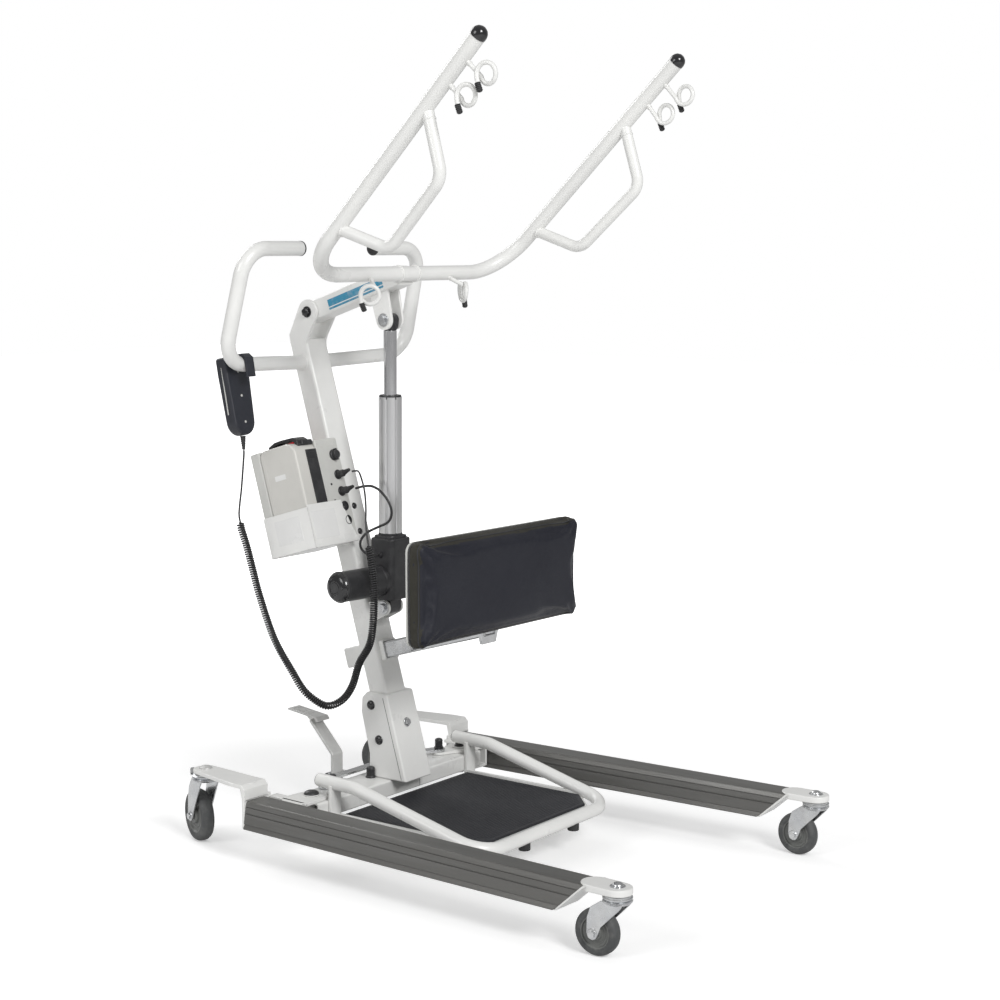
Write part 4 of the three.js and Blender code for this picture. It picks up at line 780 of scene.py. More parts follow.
# Root on the arm and middle of the ring, for the upper and the lower hook.
ARM_HOOKS = (((303, -70, 1446), (305, -118, 1419)), ((302, -33, 1410), (304, -76, 1386)))
for side, name in SIDES:
    for number, (root, centre) in enumerate(ARM_HOOKS, 1):
        hook_name = f"arm_hook_{name}_{number}"
        pigtail(hook_name, on_side(side, root), on_side(side, centre), (0, -1, 0), (side, 0, 0), 195)
    pigtail(f"frame_hook_{name}", on_side(side, (112, 302, 1085)), on_side(side, (139, 277, 1052)),
            (-side * 0.6, -0.8, 0), (side * 0.8, -0.6, 0), 60)

# ---------------------------------------------------------------- boom
BOOM_HALF = 23.4
BOOM_DEEP = 19
BOOM_REACH = 239.4
EAR_INNER, EAR_OUTER = 13, 19
eye_y, eye_z = -172.58, -70.4
boom = Shape(BOOM)
boom.plate(rounded_box(-BOOM_HALF, BOOM_HALF, -BOOM_DEEP, BOOM_DEEP, 4), -BOOM_REACH + 9, 18, "xz", edge=1.2)
boom.rod((-BOOM_HALF - 0.2, 0, 0), (BOOM_HALF + 0.2, 0, 0), 12, edge=0.6)
for sign in (-1, 1):
    ear = belt((eye_y, eye_z, 19), (eye_y - 4, -BOOM_DEEP - 2, 22))
    boom.plate(ear, sign * EAR_INNER, sign * EAR_OUTER, "yz", edge=1)
boom.done("boom_beam", "boom", POWDER_COAT, "boom_arm")
stripe = Shape(BOOM)
for low, high in ((-12.5, -8.5), (-6.5, 7.5)):
    stripe.brick(-BOOM_HALF - 0.25, -BOOM_HALF + 0.3, -196, -52, low, high, edge=0.1, segments=1)
    stripe.brick(BOOM_HALF - 0.3, BOOM_HALF + 0.25, -196, -52, low, high, edge=0.1, segments=1)
stripe.done("boom_side_stripes", "boom", STRIPE_BLUE)

# ---------------------------------------------------------------- mast and its head
MAST_HALF, MAST_DEEP = 30, 45
mast = Shape(MAST)
mast.plate(rounded_box(-MAST_HALF, MAST_HALF, 0, MAST_DEEP, 6, 5), 42, 884, "xy", edge=1.4)
cheek = [
    (3, 872), (42, 872), (42, 886), (40, 903), (30, 914), *arc(-19, 933.5, 24, 42, 232, 16),
    (-24, 905), (-8, 890), (0, 880),
]
for sign in (-1, 1):
    mast.plate(cheek, sign * 23.9, sign * 30.2, "yz", edge=1.1)
    lug = belt((-33.8, 338.2, 15), (2, 336, 20))
    mast.plate(lug, sign * 16.4, sign * 21.4, "yz", edge=0.8)
mast.done("mast_post", "root", POWDER_COAT, "mast_tube")

socket = Shape()
toe = 280.7
heel = 374
socket_top = 279.3
top_y = 328
side_face = [
    (toe, 112.3), (heel, 112.3), (heel, 159), (394, 239), (392, 267), (380, socket_top), (top_y, socket_top),
]
socket.plate(side_face, -40, 40, "yz", edge=4, segments=4)
socket.done("mast_foot", "root", POWDER_COAT, "mast_socket")
seam = Shape(MAST)
for sign in (-1, 1):
    seam.brick(sign * 40, sign * 40.15, 3.2, 4.2, 6, 168, edge=0)
seam.done("mast_foot_seam", "root", BLACK_PLASTIC)

bolts = Shape(MAST)
for height in (90, 159.6):
    for sign in (-1, 1):
        dome(bolts, (sign * 40, 37.2, height), (sign, 0, 0), 9.5, 5)
for height in (495, 546):
    dome(bolts, (0, 0, height), (0, -1, 0), 6.5, 3)
bolts.done("mast_plugs", "root", BLACK_GLOSS)
pin = Shape(MAST)
pin.rod((-33, -19, 933.5), (33, -19, 933.5), 7)
for sign in (-1, 1):
    bolt_head(pin, (sign * 30.3, -19, 933.5), (sign, 0, 0), 11, 9, 5)
    dome(pin, (sign * 37, -19, 933.5), (sign, 0, 0), 7.4, 1.6)
pin.done("boom_pivot_pin", "root", BLACK_GLOSS, "boom_pivot_bolt")
chrome_bolt = Shape(MAST)
bolt_head(chrome_bolt, (0, -8, 112), (0, -1, 0), 9, 7, 4)
chrome_bolt.rod((-24, -33.8, 338.2), (24, -33.8, 338.2), 5)
for sign in (-1, 1):
    bolt_head(chrome_bolt, (sign * 21.8, -33.8, 338.2), (sign, 0, 0), 13, 9, 6)
chrome_bolt.done("lower_pin_and_foot_bolt", "root", ZINC, "actuator_lower_pin")

# ---------------------------------------------------------------- push handle
handle_corners = [
    (-105, 478, 1136), (-253, 478, 1136), (-263, 531, 921), (-38, 546.2, 914.5),
    (38, 546.2, 914.5), (263, 531, 921), (253, 478, 1136), (105, 478, 1136),
]
HANDLE_R = 14
push = Shape()
push.sweep(bent(handle_corners, 55, 6), HANDLE_R, 32, edge=1)
for sign in (-1, 1):
    weld_bead(push, (sign * (MAST_HALF + 0.6), 546.2, 914.5), (1, 0, 0), HANDLE_R, 2)
push.done("push_handle_tube", "root", POWDER_COAT, "push_handle")
plugs = Shape()
for sign in (-1, 1):
    start = Vector((sign * 105, 478, 1136))
    plugs.lathe([(0, -2), (14.4, -2), (14.4, 0.6), (13.6, 2.0), (10, 3.2), (0, 3.6)], start, (-sign, 0, 0))
plugs.done("push_handle_plugs", "root", BLACK_PLASTIC)

# ---------------------------------------------------------------- base beam
BEAM_REAR, BEAM_BOTTOM, BEAM_TOP, BEAM_HALF = 400, 80, 112, 248
beam = Shape()
outer = rounded_box(BEAM_FRONT, BEAM_REAR, BEAM_BOTTOM, BEAM_TOP, 4)
inner = rounded_box(BEAM_FRONT + 3.5, BEAM_REAR - 3.5, BEAM_BOTTOM + 3.5, BEAM_TOP - 3.5, 2)
beam.hollow(outer, inner, -BEAM_HALF, BEAM_HALF, "yz")
for side, name in SIDES:
    x = side * LEG_PIVOT[0]
    beam.rod((x, LEG_PIVOT[1], 72.4), (x, LEG_PIVOT[1], 120.5), 8)
    beam.rod((x, LEG_PIVOT[1], 118.9), (x, LEG_PIVOT[1], 120.6), 15, edge=0.5)
    beam.hexagon((x, LEG_PIVOT[1], 66.6), (x, LEG_PIVOT[1], 72.8), 11)
PEDAL_X, PEDAL_Y, PEDAL_Z = -88, 415.5, 96
for sign in (-1, 1):
    low = PEDAL_X + sign * 15.4
    beam.plate(belt((PEDAL_Y, PEDAL_Z, 11), (BEAM_REAR - 3, PEDAL_Z, 12.5)), low, low + sign * 5, "yz")
beam.done("base_crossbar", "root", POWDER_COAT, "base_beam")
seam = Shape()
seam.brick(49.4, 50.6, BEAM_FRONT - 0.15, BEAM_FRONT, 82, 110, edge=0)
seam.done("base_crossbar_seam", "root", BLACK_PLASTIC)
pedal_pin = Shape()
pedal_pin.rod((PEDAL_X - 22, PEDAL_Y, PEDAL_Z), (PEDAL_X + 22, PEDAL_Y, PEDAL_Z), 5, edge=0.5)
for sign in (-1, 1):
    pedal_pin.hexagon((PEDAL_X + sign * 20.6, PEDAL_Y, PEDAL_Z), (PEDAL_X + sign * 25, PEDAL_Y, PEDAL_Z), 8)
pedal_pin.done("pedal_pivot_pin", "root", ZINC)


def tall_cap(shape, x, y, z, r=9.5, height=24):
    """A ribbed screw cap over a stud."""
    ribs = [(0, height), (r * 0.55, height), (r * 0.86, height - 1.2), (r, height - 4)]
    for i in range(4):
        level = height - 6 - i * 3.2
        ribs += [(r, level), (r - 0.7, level - 0.5), (r - 0.7, level - 1.5), (r, level - 2)]
    ribs += [(r + 1.4, 2.5), (r + 1.4, 0), (0, 0)]
    return shape.lathe(ribs, (x, y, z), UP)


caps = Shape()
dome(caps, (-LEG_PIVOT[0], LEG_PIVOT[1], 120.6), UP, 14.5, 7)
tall_cap(caps, LEG_PIVOT[0], LEG_PIVOT[1], 120.4, 8, 20)
tall_cap(caps, -45, 366, BEAM_TOP - 0.2, 8.5, 22)
tall_cap(caps, 45, 366, BEAM_TOP - 0.2, 8, 15)
caps.done("crossbar_caps", "root", BLACK_PLASTIC)

# ---------------------------------------------------------------- spreader bar and spreading pedal
PIN_X, PIN_Y = 173.56, 370.3
bar = Shape()
SPREAD_Y = 401
for sign in (-1, 1):
    arm = belt((sign * PIN_X, PIN_Y, 13), (sign * 118, SPREAD_Y, 9))
    bar.plate(arm, 119, 124, "xy", edge=0.8)
bar.brick(-118, 118, SPREAD_Y - 9, SPREAD_Y + 9, 119.02, 123.98, edge=0.8)
bar.brick(PEDAL_X - 21, PEDAL_X - 16, SPREAD_Y, 427.5, 119, 124, edge=0.8)
bar.brick(PEDAL_X + 16, PEDAL_X + 21, SPREAD_Y, 427.5, 119, 124, edge=0.8)
bar.brick(PEDAL_X - 21, PEDAL_X + 21, 420.4, 427.5, 119, 124, edge=0.8)
bar.done("spreader_link", "spreader", ZINC, "spreader_bar")
bar_caps = Shape()
for sign in (-1, 1):
    dome(bar_caps, (sign * 118, SPREAD_Y, 124), UP, 8, 5)
bar_caps.done("spreader_link_caps", "spreader", BLACK_PLASTIC)

pedal = Shape()
half = 15
strip = [
    (PEDAL_Y - 3, 92), (PEDAL_Y + 3, 92), (PEDAL_Y + 3, 160), (474, 219.5), (470, 224), (PEDAL_Y, 166.5),
    (PEDAL_Y - 3, 161),
]
pedal.plate(strip, PEDAL_X - half, PEDAL_X + half, "yz", edge=1.6, segments=3)
pedal.rod((PEDAL_X - half, PEDAL_Y, PEDAL_Z), (PEDAL_X + half, PEDAL_Y, PEDAL_Z), 10, edge=0.6)
pedal.done("spreading_pedal_arm", "pedal", PEDAL_STEEL, "pedal_lever")
step = Shape()
slope = math.atan2(9, 76)
tread_place = Matrix.Translation((PEDAL_X, 452, 226)) @ Matrix.Rotation(slope, 4, "X")
step.brick(-17, 17, 2, 77, 0, 3.6, edge=1.6, matrix=tread_place)
step.plate([(0, -6), (8, 0.5), (2, 4), (-5, -3)], -17, 17, "yz", edge=1, matrix=tread_place)
for i in range(6):
    step.brick(-12, 12, 26 + i * 8, 29 + i * 8, 3, 4.6, edge=0.7, matrix=tread_place)
step.done("spreading_pedal_tread", "pedal", PEDAL_STEEL)
gusset = Shape()
gusset.plate([(2, 0), (46, 0), (18, -20)], -3, 3, "yz", edge=0.8, matrix=tread_place)
gusset.done("spreading_pedal_gusset", "pedal", POWDER_COAT)

# ---------------------------------------------------------------- footplate
def cut_cornered(half, rear, front, corner):
    """A plate's outline with its two front corners cut off."""
    return [
        (-half, rear), (-half, front + corner), (-half + corner, front),
        (half - corner, front), (half, front + corner), (half, rear),
    ]


footplate = Shape()
rail = [(-207, 355, 145), (-207, 268, 143), (-202, -30, 70), (202, -30, 70), (207, 268, 143), (207, 355, 145)]
footplate.sweep(bent(rail, 55, 6), 12.5, 28, edge=1)
PAN_HALF, PAN_REAR, PAN_FRONT, PAN_CORNER = 194, 319.6, -16, 45
footplate.plate(cut_cornered(PAN_HALF, PAN_REAR, PAN_FRONT, PAN_CORNER), 70, 75, "xy", edge=0.8)
for sign in (-1, 1):
    footplate.brick(sign * 193, sign * 199, PAN_FRONT + PAN_CORNER, PAN_REAR, 64, 84, edge=1)
    footplate.brick(sign * 192, sign * 221, PAN_REAR - 7, PAN_REAR, 64, 141, edge=1.4)
footplate.done("footplate_rail_and_pan", "root", POWDER_COAT, "footplate_frame")
ends = Shape()
for sign in (-1, 1):
    dome(ends, (sign * 207, 355, 145), (0, 1, 0.02), 12.2, 3)
    ends.rod((sign * 78, -30, 47.6), (sign * 78, -30, 62), 11, edge=1.5)
ends.done("footplate_feet_and_plugs", "root", BLACK_RUBBER)

mat = Shape()
MAT_HALF, MAT_REAR, MAT_FRONT, MAT_MARGIN = 191, 311.6, -10, 7
mat.plate(cut_cornered(MAT_HALF, MAT_REAR, MAT_FRONT, PAN_CORNER), 75.3, 80.3, "xy", edge=1.2, segments=3)
RIBS, RIB_PITCH, RIB_WIDTH = 47, 6.5, 2.6
for i in range(RIBS):
    y = i * RIB_PITCH
    x = min(MAT_HALF - MAT_MARGIN, MAT_HALF - PAN_CORNER - MAT_MARGIN + y + 4)
    mat.brick(-x, x, y, y + RIB_WIDTH, 80.0, 80.9, edge=0.35, segments=1)
mat.done("ribbed_foot_mat", "root", MAT_RUBBER, "footplate_mat")

# ---------------------------------------------------------------- legs
LEG_X = 86
LEG_FRONT, LEG_REAR, LEG_TOP, LEG_BOTTOM = -716, 60, 120, 68
UNDERCUT = 58
FRONT_BOLT = -765
REAR_BOLT = (72, 210)


def leg_section():
    """Half the extrusion's outline, with its step, its grooves and its foot, then mirrored."""
    right = [
        (0, 120), (20.5, 120), (23, 119.2), (24.4, 117.4), (27, 110.5), (26.2, 110.1), (26.0, 109.3),
        (27.2, 109.0), (28.9, 99.4), (27.6, 98.6), (27.6, 97.4), (29.6, 96.6), (31.6, 78.6), (30.2, 77.4),
        (30.2, 76.2), (33.6, 71.6), (34, 70.6), (34, 69), (33, 68),
    ]
    return right + [(-x, z) for x, z in reversed(right[1:])]


for side, name in SIDES:
    body = f"leg_{name}"
    place = leg_place(side) @ mirrored(side)
    rail = bmesh.new()
    face = rail.faces.new([rail.verts.new((x + LEG_X, LEG_REAR, z)) for x, z in leg_section()])
    grown = bmesh.ops.extrude_face_region(rail, geom=[face])["geom"]
    front = [v for v in grown if isinstance(v, bmesh.types.BMVert)]
    bmesh.ops.translate(rail, vec=(0, LEG_FRONT - LEG_REAR, 0), verts=front)
    for v in front:
        v.co.y += UNDERCUT * (LEG_TOP - v.co.z) / (LEG_TOP - LEG_BOTTOM)
    leg = Shape(place)
    leg.put(rail)
    leg.done(f"leg_extrusion_{name}", body, ANODISED, f"leg_rail_{name}")

    nose = Shape(place)
    nose.plate(belt((LEG_X, FRONT_BOLT, 25), (LEG_X, -722, 25.5)), 110, 122, "xy", edge=2.2, segments=3)
    slant = UNDERCUT / (LEG_TOP - LEG_BOTTOM)
    cover = [
        (LEG_FRONT - 0.4 + slant * (LEG_TOP - z) - back, z)
        for z, back in ((LEG_TOP, 0), (LEG_BOTTOM, 0), (LEG_BOTTOM, 5), (LEG_TOP, 5))
    ]
    nose.plate(cover, LEG_X - 31, LEG_X + 31, "yz", edge=1)
    nose.done(f"leg_end_plate_{name}", body, POWDER_COAT, f"leg_nose_{name}")
    front_bolt = Shape(place)
    front_bolt.rod((LEG_X, FRONT_BOLT, 121.6), (LEG_X, FRONT_BOLT, 123.2), 13, edge=0.4)
    dome(front_bolt, (LEG_X, FRONT_BOLT, 123.2), UP, 9.5, 6)
    for x, y in ((LEG_X - 15, LEG_REAR + 6.3), (LEG_X + 14, LEG_REAR + 6.3)):
        bolt_head(front_bolt, (x, y, 96), (0, 1, 0), 7, 5.5, 4)
    front_bolt.done(f"leg_bolts_{name}", body, ZINC)

    hinge = Shape(place)
    inside = LEG_X - 34 - 0.3
    for low, high in ((112.4, 118.4), (73.6, 79.6)):
        hinge.plate(belt((0, 0, 30), (inside - 20, 0, 33.4)), low, high, "xy", edge=1)
        hinge.brick(inside - 22, inside - 0.1, -34, LEG_REAR + 1, low + 0.03, high - 0.03, edge=1)
    hinge.plate(belt((0, 0, 22), (-51, 14, 14)), 112.5, 118.3, "xy", edge=1)
    hinge.brick(inside - 6, inside, -34, LEG_REAR + 7, 73.6, 118.4, edge=1)
    rear = LEG_REAR + 0.3
    hinge.brick(inside - 6, LEG_X + 31, rear, rear + 6, LEG_BOTTOM, LEG_TOP + 4, edge=1.4)
    riser = [
        (rear, 118), (rear + 6, 118), (rear + 12, 142.3), (rear + 40, 142.3), (rear + 40, 149.8),
        (rear + 8, 149.8), (rear, 142),
    ]
    hinge.plate(riser, LEG_X - 32, LEG_X + 30, "yz", edge=1.4)
    arm = belt((LEG_X - 1, rear + 36, 31), (REAR_BOLT[0], REAR_BOLT[1], 24), 14)
    hinge.plate(arm, 142, 150, "xy", edge=2)
    hinge.done(f"leg_hinge_and_rear_arm_{name}", body, POWDER_COAT, f"leg_hinge_{name}")
    crank = Shape(place)
    crank.rod((-51, 14, 118), (-51, 14, 126), 6)
    tall_cap(crank, -51, 14, 124.9, 8, 20)
    crank.done(f"crank_pin_cap_{name}", body, BLACK_PLASTIC)
    rear_bolt = Shape(place)
    dome(rear_bolt, (REAR_BOLT[0], REAR_BOLT[1], 150), UP, 12.5, 5.5)
    rear_bolt.done(f"rear_caster_bolt_{name}", body, PEDAL_STEEL)

# ---------------------------------------------------------------- casters
FRONT_WHEEL = dict(radius=40, width=25, trail=37, crown=25)
REAR_WHEEL = dict(radius=50, width=28, trail=35, crown=27)
FRONT_STEM_Z, REAR_STEM_Z = 109.7, 141.7


AXLE_HOLE = 4.4
# Shares of the wheel's radius and of half its width, from one face to the middle.
TYRE_SECTION = [(0.66, 0.80), (0.82, 0.94), (0.93, 0.80), (0.985, 0.5), (1, 0.2)]
HUB_SECTION = [
    (0.27, 1), (0.31, 0.86), (0.33, 0.62), (0.42, 0.55), (0.44, 0.62), (0.47, 0.62), (0.49, 0.55),
    (0.60, 0.60), (0.64, 0.80), (0.68, 0.82),
]


def both_faces(section, r, half):
    """A wheel's closed section, the same on both faces."""
    one = [(r * a, -half * b) for a, b in section]
    return one + [(x, -y) for x, y in reversed(one)] + one[:1]


def caster(name, wheel, place, top, prefix):
    r, width, trail, crown = wheel["radius"], wheel["width"], wheel["trail"], wheel["crown"]
    drop = top - r
    inner = width / 2 + 2.5
    fork = Shape(place)
    fork.lathe([
        (0, 0), (crown * 0.82, 0), (crown * 0.9, -1.2), (crown * 0.9, -2.4), (crown, -4.2), (crown, -5.4),
        (crown * 0.84, -7.2), (crown * 0.84, -8.0), (crown * 0.98, -9.4), (crown, -11.6),
        (crown * 0.9, -14), (crown * 0.84, -15), (0, -15),
    ], steps=36)
    cheek = [
        (-crown * 0.8, -11), (-crown * 0.66, -17), (-crown * 0.5, -22), (trail - 16, -drop + 14),
        (trail - 11, -drop + 1), (trail - 7, -drop - 6), (trail, -drop - 9.5), (trail + 7, -drop - 7),
        (trail + 11, -drop), (trail + 10.5, -drop * 0.62), (trail + 4, -drop * 0.35), (crown * 0.86, -11),
    ]
    for sign in (-1, 1):
        fork.plate(cheek, sign * inner, sign * (inner + 3), "yz", edge=0.9)
        fork.lathe(
            [(0, 1.6), (8.5, 1.6), (9.5, 0.6), (9.5, -0.2), (0, -0.2)], (sign * (inner + 3), trail, -drop),
            (sign, 0, 0),
        )
        fork.hexagon((sign * (inner + 4.4), trail, -drop), (sign * (inner + 8.0), trail, -drop), 6.6)
    fork.rod((-inner - 4, trail, -drop), (inner + 4, trail, -drop), 4)
    fork.done(f"{prefix}_{name}_fork_shell", f"{prefix}_{name}_fork", ZINC, f"{prefix}_{name}_caster_fork")

    hub_place = place @ moved(0, trail, -drop)
    half = width / 2
    tyre = Shape(hub_place)
    tyre.lathe(both_faces(TYRE_SECTION, r, half), axis=(1, 0, 0), steps=56)
    tyre.done(f"{prefix}_{name}_tyre", f"{prefix}_{name}_wheel", TYRE, f"{prefix}_{name}_wheel")
    hub = Shape(hub_place)
    faces = both_faces(HUB_SECTION, r, half)[:-1]
    section = [(AXLE_HOLE, -half), *faces, (AXLE_HOLE, half), (AXLE_HOLE, -half)]
    hub.lathe(section, axis=(1, 0, 0), steps=48)
    hub.done(f"{prefix}_{name}_hub", f"{prefix}_{name}_wheel", HUB)


for side, name in SIDES:
    base = leg_place(side)
    front_place = base @ moved(side * LEG_X, FRONT_BOLT, FRONT_STEM_Z) @ turned_z(-side * 4)
    caster(name, FRONT_WHEEL, front_place, FRONT_STEM_Z, "front")
    rear_place = base @ moved(side * REAR_BOLT[0], REAR_BOLT[1], REAR_STEM_Z) @ turned_z(side * 20)
    caster(name, REAR_WHEEL, rear_place, REAR_STEM_Z, "rear")
    crown = REAR_WHEEL["crown"]
    brake = Shape(rear_place)
    top = [
        (-20, crown + 1.5), (20, crown + 1.5), (14, crown + 18), (5, crown + 38), (2, crown + 41),
        (-2, crown + 41), (-5, crown + 38), (-14, crown + 18),
    ]
    brake.plate(top, -9, -5.5, "xy", edge=0.9)
    for sign in (-1, 1):
        cheek = [
            (crown + 1.5, -6), (crown + 1.5, -20), (crown + 4, -23.5), (crown + 10, -24), (crown + 34, -8),
            (crown + 34, -6),
        ]
        brake.plate(cheek, sign * 1, sign * 4, "yz", edge=0.6)
    for i in range(3):
        brake.brick(-9 + i * 2, 9 - i * 2, crown + 8 + i * 6, crown + 10.4 + i * 6, -6, -4.6, edge=0.6)
    brake.done(f"rear_{name}_brake_tread", f"rear_{name}_brake", ZINC, f"rear_{name}_brake_pedal")

# ---------------------------------------------------------------- lift actuator
housing = Shape(ACTUATOR)
housing.plate(rounded_box(-31, 31, -29, 29, 12, 6), 17, 136, "xy", edge=3, segments=3)
housing.plate(belt((0, 0, 14), (0, 25, 15)), -16, 16, "yz", edge=1.2)
housing.plate(rounded_box(-26, 26, -24, 24, 10, 6), 130, 141, "xy", edge=2)
motor_axis = Vector((-math.cos(math.radians(6)), math.sin(math.radians(6)), 0))
centre = Vector((0, 0, 54))
housing.rod(centre, centre + motor_axis * 136, 29.2, sides=48, edge=1)
housing.rod(centre + motor_axis * 30, centre + motor_axis * 38, 30, sides=48, edge=1.5)
housing.rod(centre + motor_axis * 131, centre + motor_axis * 136.4, 30, sides=48, edge=1.2)
for z in (40, 112):
    for x in (-31.6, 31):
        housing.rod((x, 14, z), (x + 0.6, 14, z), 3.2, edge=0.2)
housing.rod((-28, -0.5, 104.5), (-36.5, -0.5, 104.5), 6.2, 4.2, edge=0.5)
housing.done("actuator_body", "actuator", BLACK_PLASTIC, "actuator_housing")
motor_end = Shape(ACTUATOR)
end_section = [
    (0, 10.6), (10, 10.4), (11, 9.4), (13, 9.4), (14, 10.2), (20, 9.4), (24.6, 7.4), (27.4, 4),
    (28.6, 0), (0, 0),
]
motor_end.lathe(end_section, centre + motor_axis * 136.4, motor_axis, 48)
for angle in (35, 155, 275):
    spot = 19 * (UP * math.cos(math.radians(angle)) + motor_axis.cross(UP) * math.sin(math.radians(angle)))
    motor_end.rod(centre + spot + motor_axis * 145, centre + spot + motor_axis * 146.8, 3, edge=0.4)
motor_end.done("actuator_motor_end", "actuator", BLACK_GLOSS)

flutes = []
for i in range(96):
    angle = math.tau * i / 96
    r = 22.5
    if i % 24 in (5, 6, 18, 19):
        r = 21.2
    flutes.append((r * math.cos(angle), r * math.sin(angle)))
bore = [(13.1 * math.cos(math.tau * i / 96), 13.1 * math.sin(math.tau * i / 96)) for i in range(96)]
tube = Shape(ACTUATOR)
tube.hollow(flutes, bore, 136.3, 408, "xy", edge=0)
tube.done("actuator_outer_tube", "actuator", TUBE_ALUMINIUM, "actuator_tube")
wiper = Shape(ACTUATOR)
wiper.lathe([(13, 404), (21.6, 404), (21.6, 410), (20.6, 411.8), (16, 412), (13, 411.4), (13, 404)], steps=40)
wiper.rod((0, 0, 140.6), (0, 0, 145.5), 23.2, sides=40, edge=0.8)
wiper.done("actuator_tube_rings", "actuator", BLACK_PLASTIC)
rod = Shape(ACTUATOR)
rod.rod((0, 0, 252), (0, 0, 535), 12.5, sides=40, edge=1)
rod.done("actuator_piston_rod", "rod", CHROME, "actuator_rod")
span = math.hypot(4, 555)
clevis = Shape(ACTUATOR)
clevis.rod((0, 0, 535.3), (0, 0, 545.3), 12.3, edge=0.8)
clevis.plate(belt((0, span, 12.4), (0, 545, 11)), -12, 12, "yz", edge=1.2)
clevis.done("actuator_rod_eye", "rod", BLACK_PLASTIC, "rod_end")
rod_bolt = Shape(ACTUATOR)
rod_bolt.rod((-22, 0, span), (22, 0, span), 5)
for sign in (-1, 1):
    bolt_head(rod_bolt, (sign * 19.8, 0, span), (sign, 0, 0), 12.6, 8.6, 5)
rod_bolt.done("rod_eye_bolt", "rod", ZINC)

# ---------------------------------------------------------------- knee arm
knee_tube = Shape(KNEE)
outer = rounded_box(-20, 20, -20, 20, 4)
inner = rounded_box(-16.5, 16.5, -16.5, 16.5, 1.2)
knee_tube.hollow(outer, inner, 10, 113, "xz")
knee_tube.done("knee_arm_sleeve", "root", POWDER_COAT, "knee_arm_outer")
PAD_FRONT, PAD_BACK, PAD_HALF, PAD_BOTTOM, PAD_TOP = 72, 105, 236, 425, 622
# The pad stands turned a little on its arm, about the middle of its back.
PAD = DESIGN @ moved(0, PAD_BACK, 0) @ turned_z(-2.6) @ moved(0, -PAD_BACK, 0)
carrier = Shape(KNEE)
outer = rounded_box(-16, 16, -16, 16, 3.4)
inner = rounded_box(-13.5, 13.5, -13.5, 13.5, 1.2)
carrier.hollow(outer, inner, -240, 85, "xz")
carrier.done("knee_arm_slide", "knee_pad", ZINC, "knee_pad_carrier")
bracket = Shape(PAD)
bracket.plate(
    [(-20, 402), (20, 402), (34, 446), (34, 590), (-34, 590), (-34, 446)], 109.4, 115.8, "xz", edge=1,
)
for x in (-24, 24):
    for z in (455, 570):
        bolt_head(bracket, (x, 115.7, z), (0, 1, 0), 7.5, 5.5, 4)
bracket.done("knee_pad_bracket", "knee_pad", ZINC)
board = Shape(PAD)
board.plate(rounded_box(-233, 233, 428, 619, 18, 6), 105.3, 109.8, "xz", edge=1.2)
board.done("knee_pad_board", "knee_pad", GREY_CASE)

# ---------------------------------------------------------------- knee cushion
CUSHION_CAP = 9 * MM


def cushion_form(inset):
    """Crowned block for the cushion, drawn in a little before it swells."""
    form = bmesh.new()
    bmesh.ops.create_cube(form, size=1)
    full = Vector((2 * PAD_HALF, PAD_BACK - PAD_FRONT, PAD_TOP - PAD_BOTTOM))
    bmesh.ops.scale(form, vec=full - Vector((2, 2, 2)) * inset, verts=form.verts)
    upright = [e for e in form.edges if abs((e.verts[0].co - e.verts[1].co).y) > 5]
    bevelled(form, upright, 16, 4)
    bevelled(form, [e for e in form.edges if e.calc_face_angle(0) > math.radians(60)], 4.5, 3)
    bmesh.ops.translate(
        form, vec=(0, (PAD_FRONT + PAD_BACK) / 2, (PAD_BOTTOM + PAD_TOP) / 2), verts=form.verts,
    )
    bmesh.ops.scale(form, vec=(MM, MM, MM), verts=form.verts)
    return form


def swollen(form):
    """The form blown up as cloth, with no point moved further than the cap, as a finished mesh object."""
    mesh = bpy.data.meshes.new("knee_cushion_cover")
    form.to_mesh(mesh)
    form.free()
    pad = bpy.data.objects.new("knee_cushion_cover", mesh)
    bpy.context.scene.collection.objects.link(pad)
    remesh = pad.modifiers.new("even_mesh", "REMESH")
    remesh.mode = "VOXEL"
    remesh.voxel_size = 0.005
    bake_modifiers(pad)
    rest = [v.co.copy() for v in pad.data.vertices]
    back = max(v.y for v in rest)
    held = pad.vertex_groups.new(name="held_by_board")
    held.add([i for i, v in enumerate(rest) if v.y > back - 0.004], 1.0, "REPLACE")
    cloth = pad.modifiers.new("cloth", "CLOTH")
    cloth.settings.use_pressure = True
    cloth.settings.uniform_pressure_force = 4
    cloth.settings.effector_weights.gravity = 0
    cloth.settings.vertex_group_mass = "held_by_board"
    cloth.settings.quality = 6
    cloth.settings.tension_stiffness = 22
    cloth.settings.bending_stiffness = 1.2
    cloth.point_cache.frame_start = 1
    cloth.point_cache.frame_end = 20
    for number in range(1, 21):
        bpy.context.scene.frame_set(number)
    posed = pad.evaluated_get(bpy.context.evaluated_depsgraph_get()).to_mesh()
    places = [v.co.copy() for v in posed.vertices]
    pad.modifiers.remove(cloth)
    bpy.context.scene.frame_set(1)
    for v, before, after in zip(pad.data.vertices, rest, places):
        shift = after - before
        if shift.length > CUSHION_CAP:
            shift *= CUSHION_CAP / shift.length
        v.co = before + shift
    return pad


def bake_modifiers(thing):
    """Puts the modifiers' result into the mesh."""
    made = bpy.data.meshes.new_from_object(thing.evaluated_get(bpy.context.evaluated_depsgraph_get()))
    thing.modifiers.clear()
    old = thing.data
    thing.data = made
    bpy.data.meshes.remove(old)


cushion = swollen(cushion_form(3.0))
centre_x, centre_z = 0.0, (PAD_BOTTOM + PAD_TOP) / 2 * MM
half_x, half_z = PAD_HALF * MM, (PAD_TOP - PAD_BOTTOM) / 2 * MM
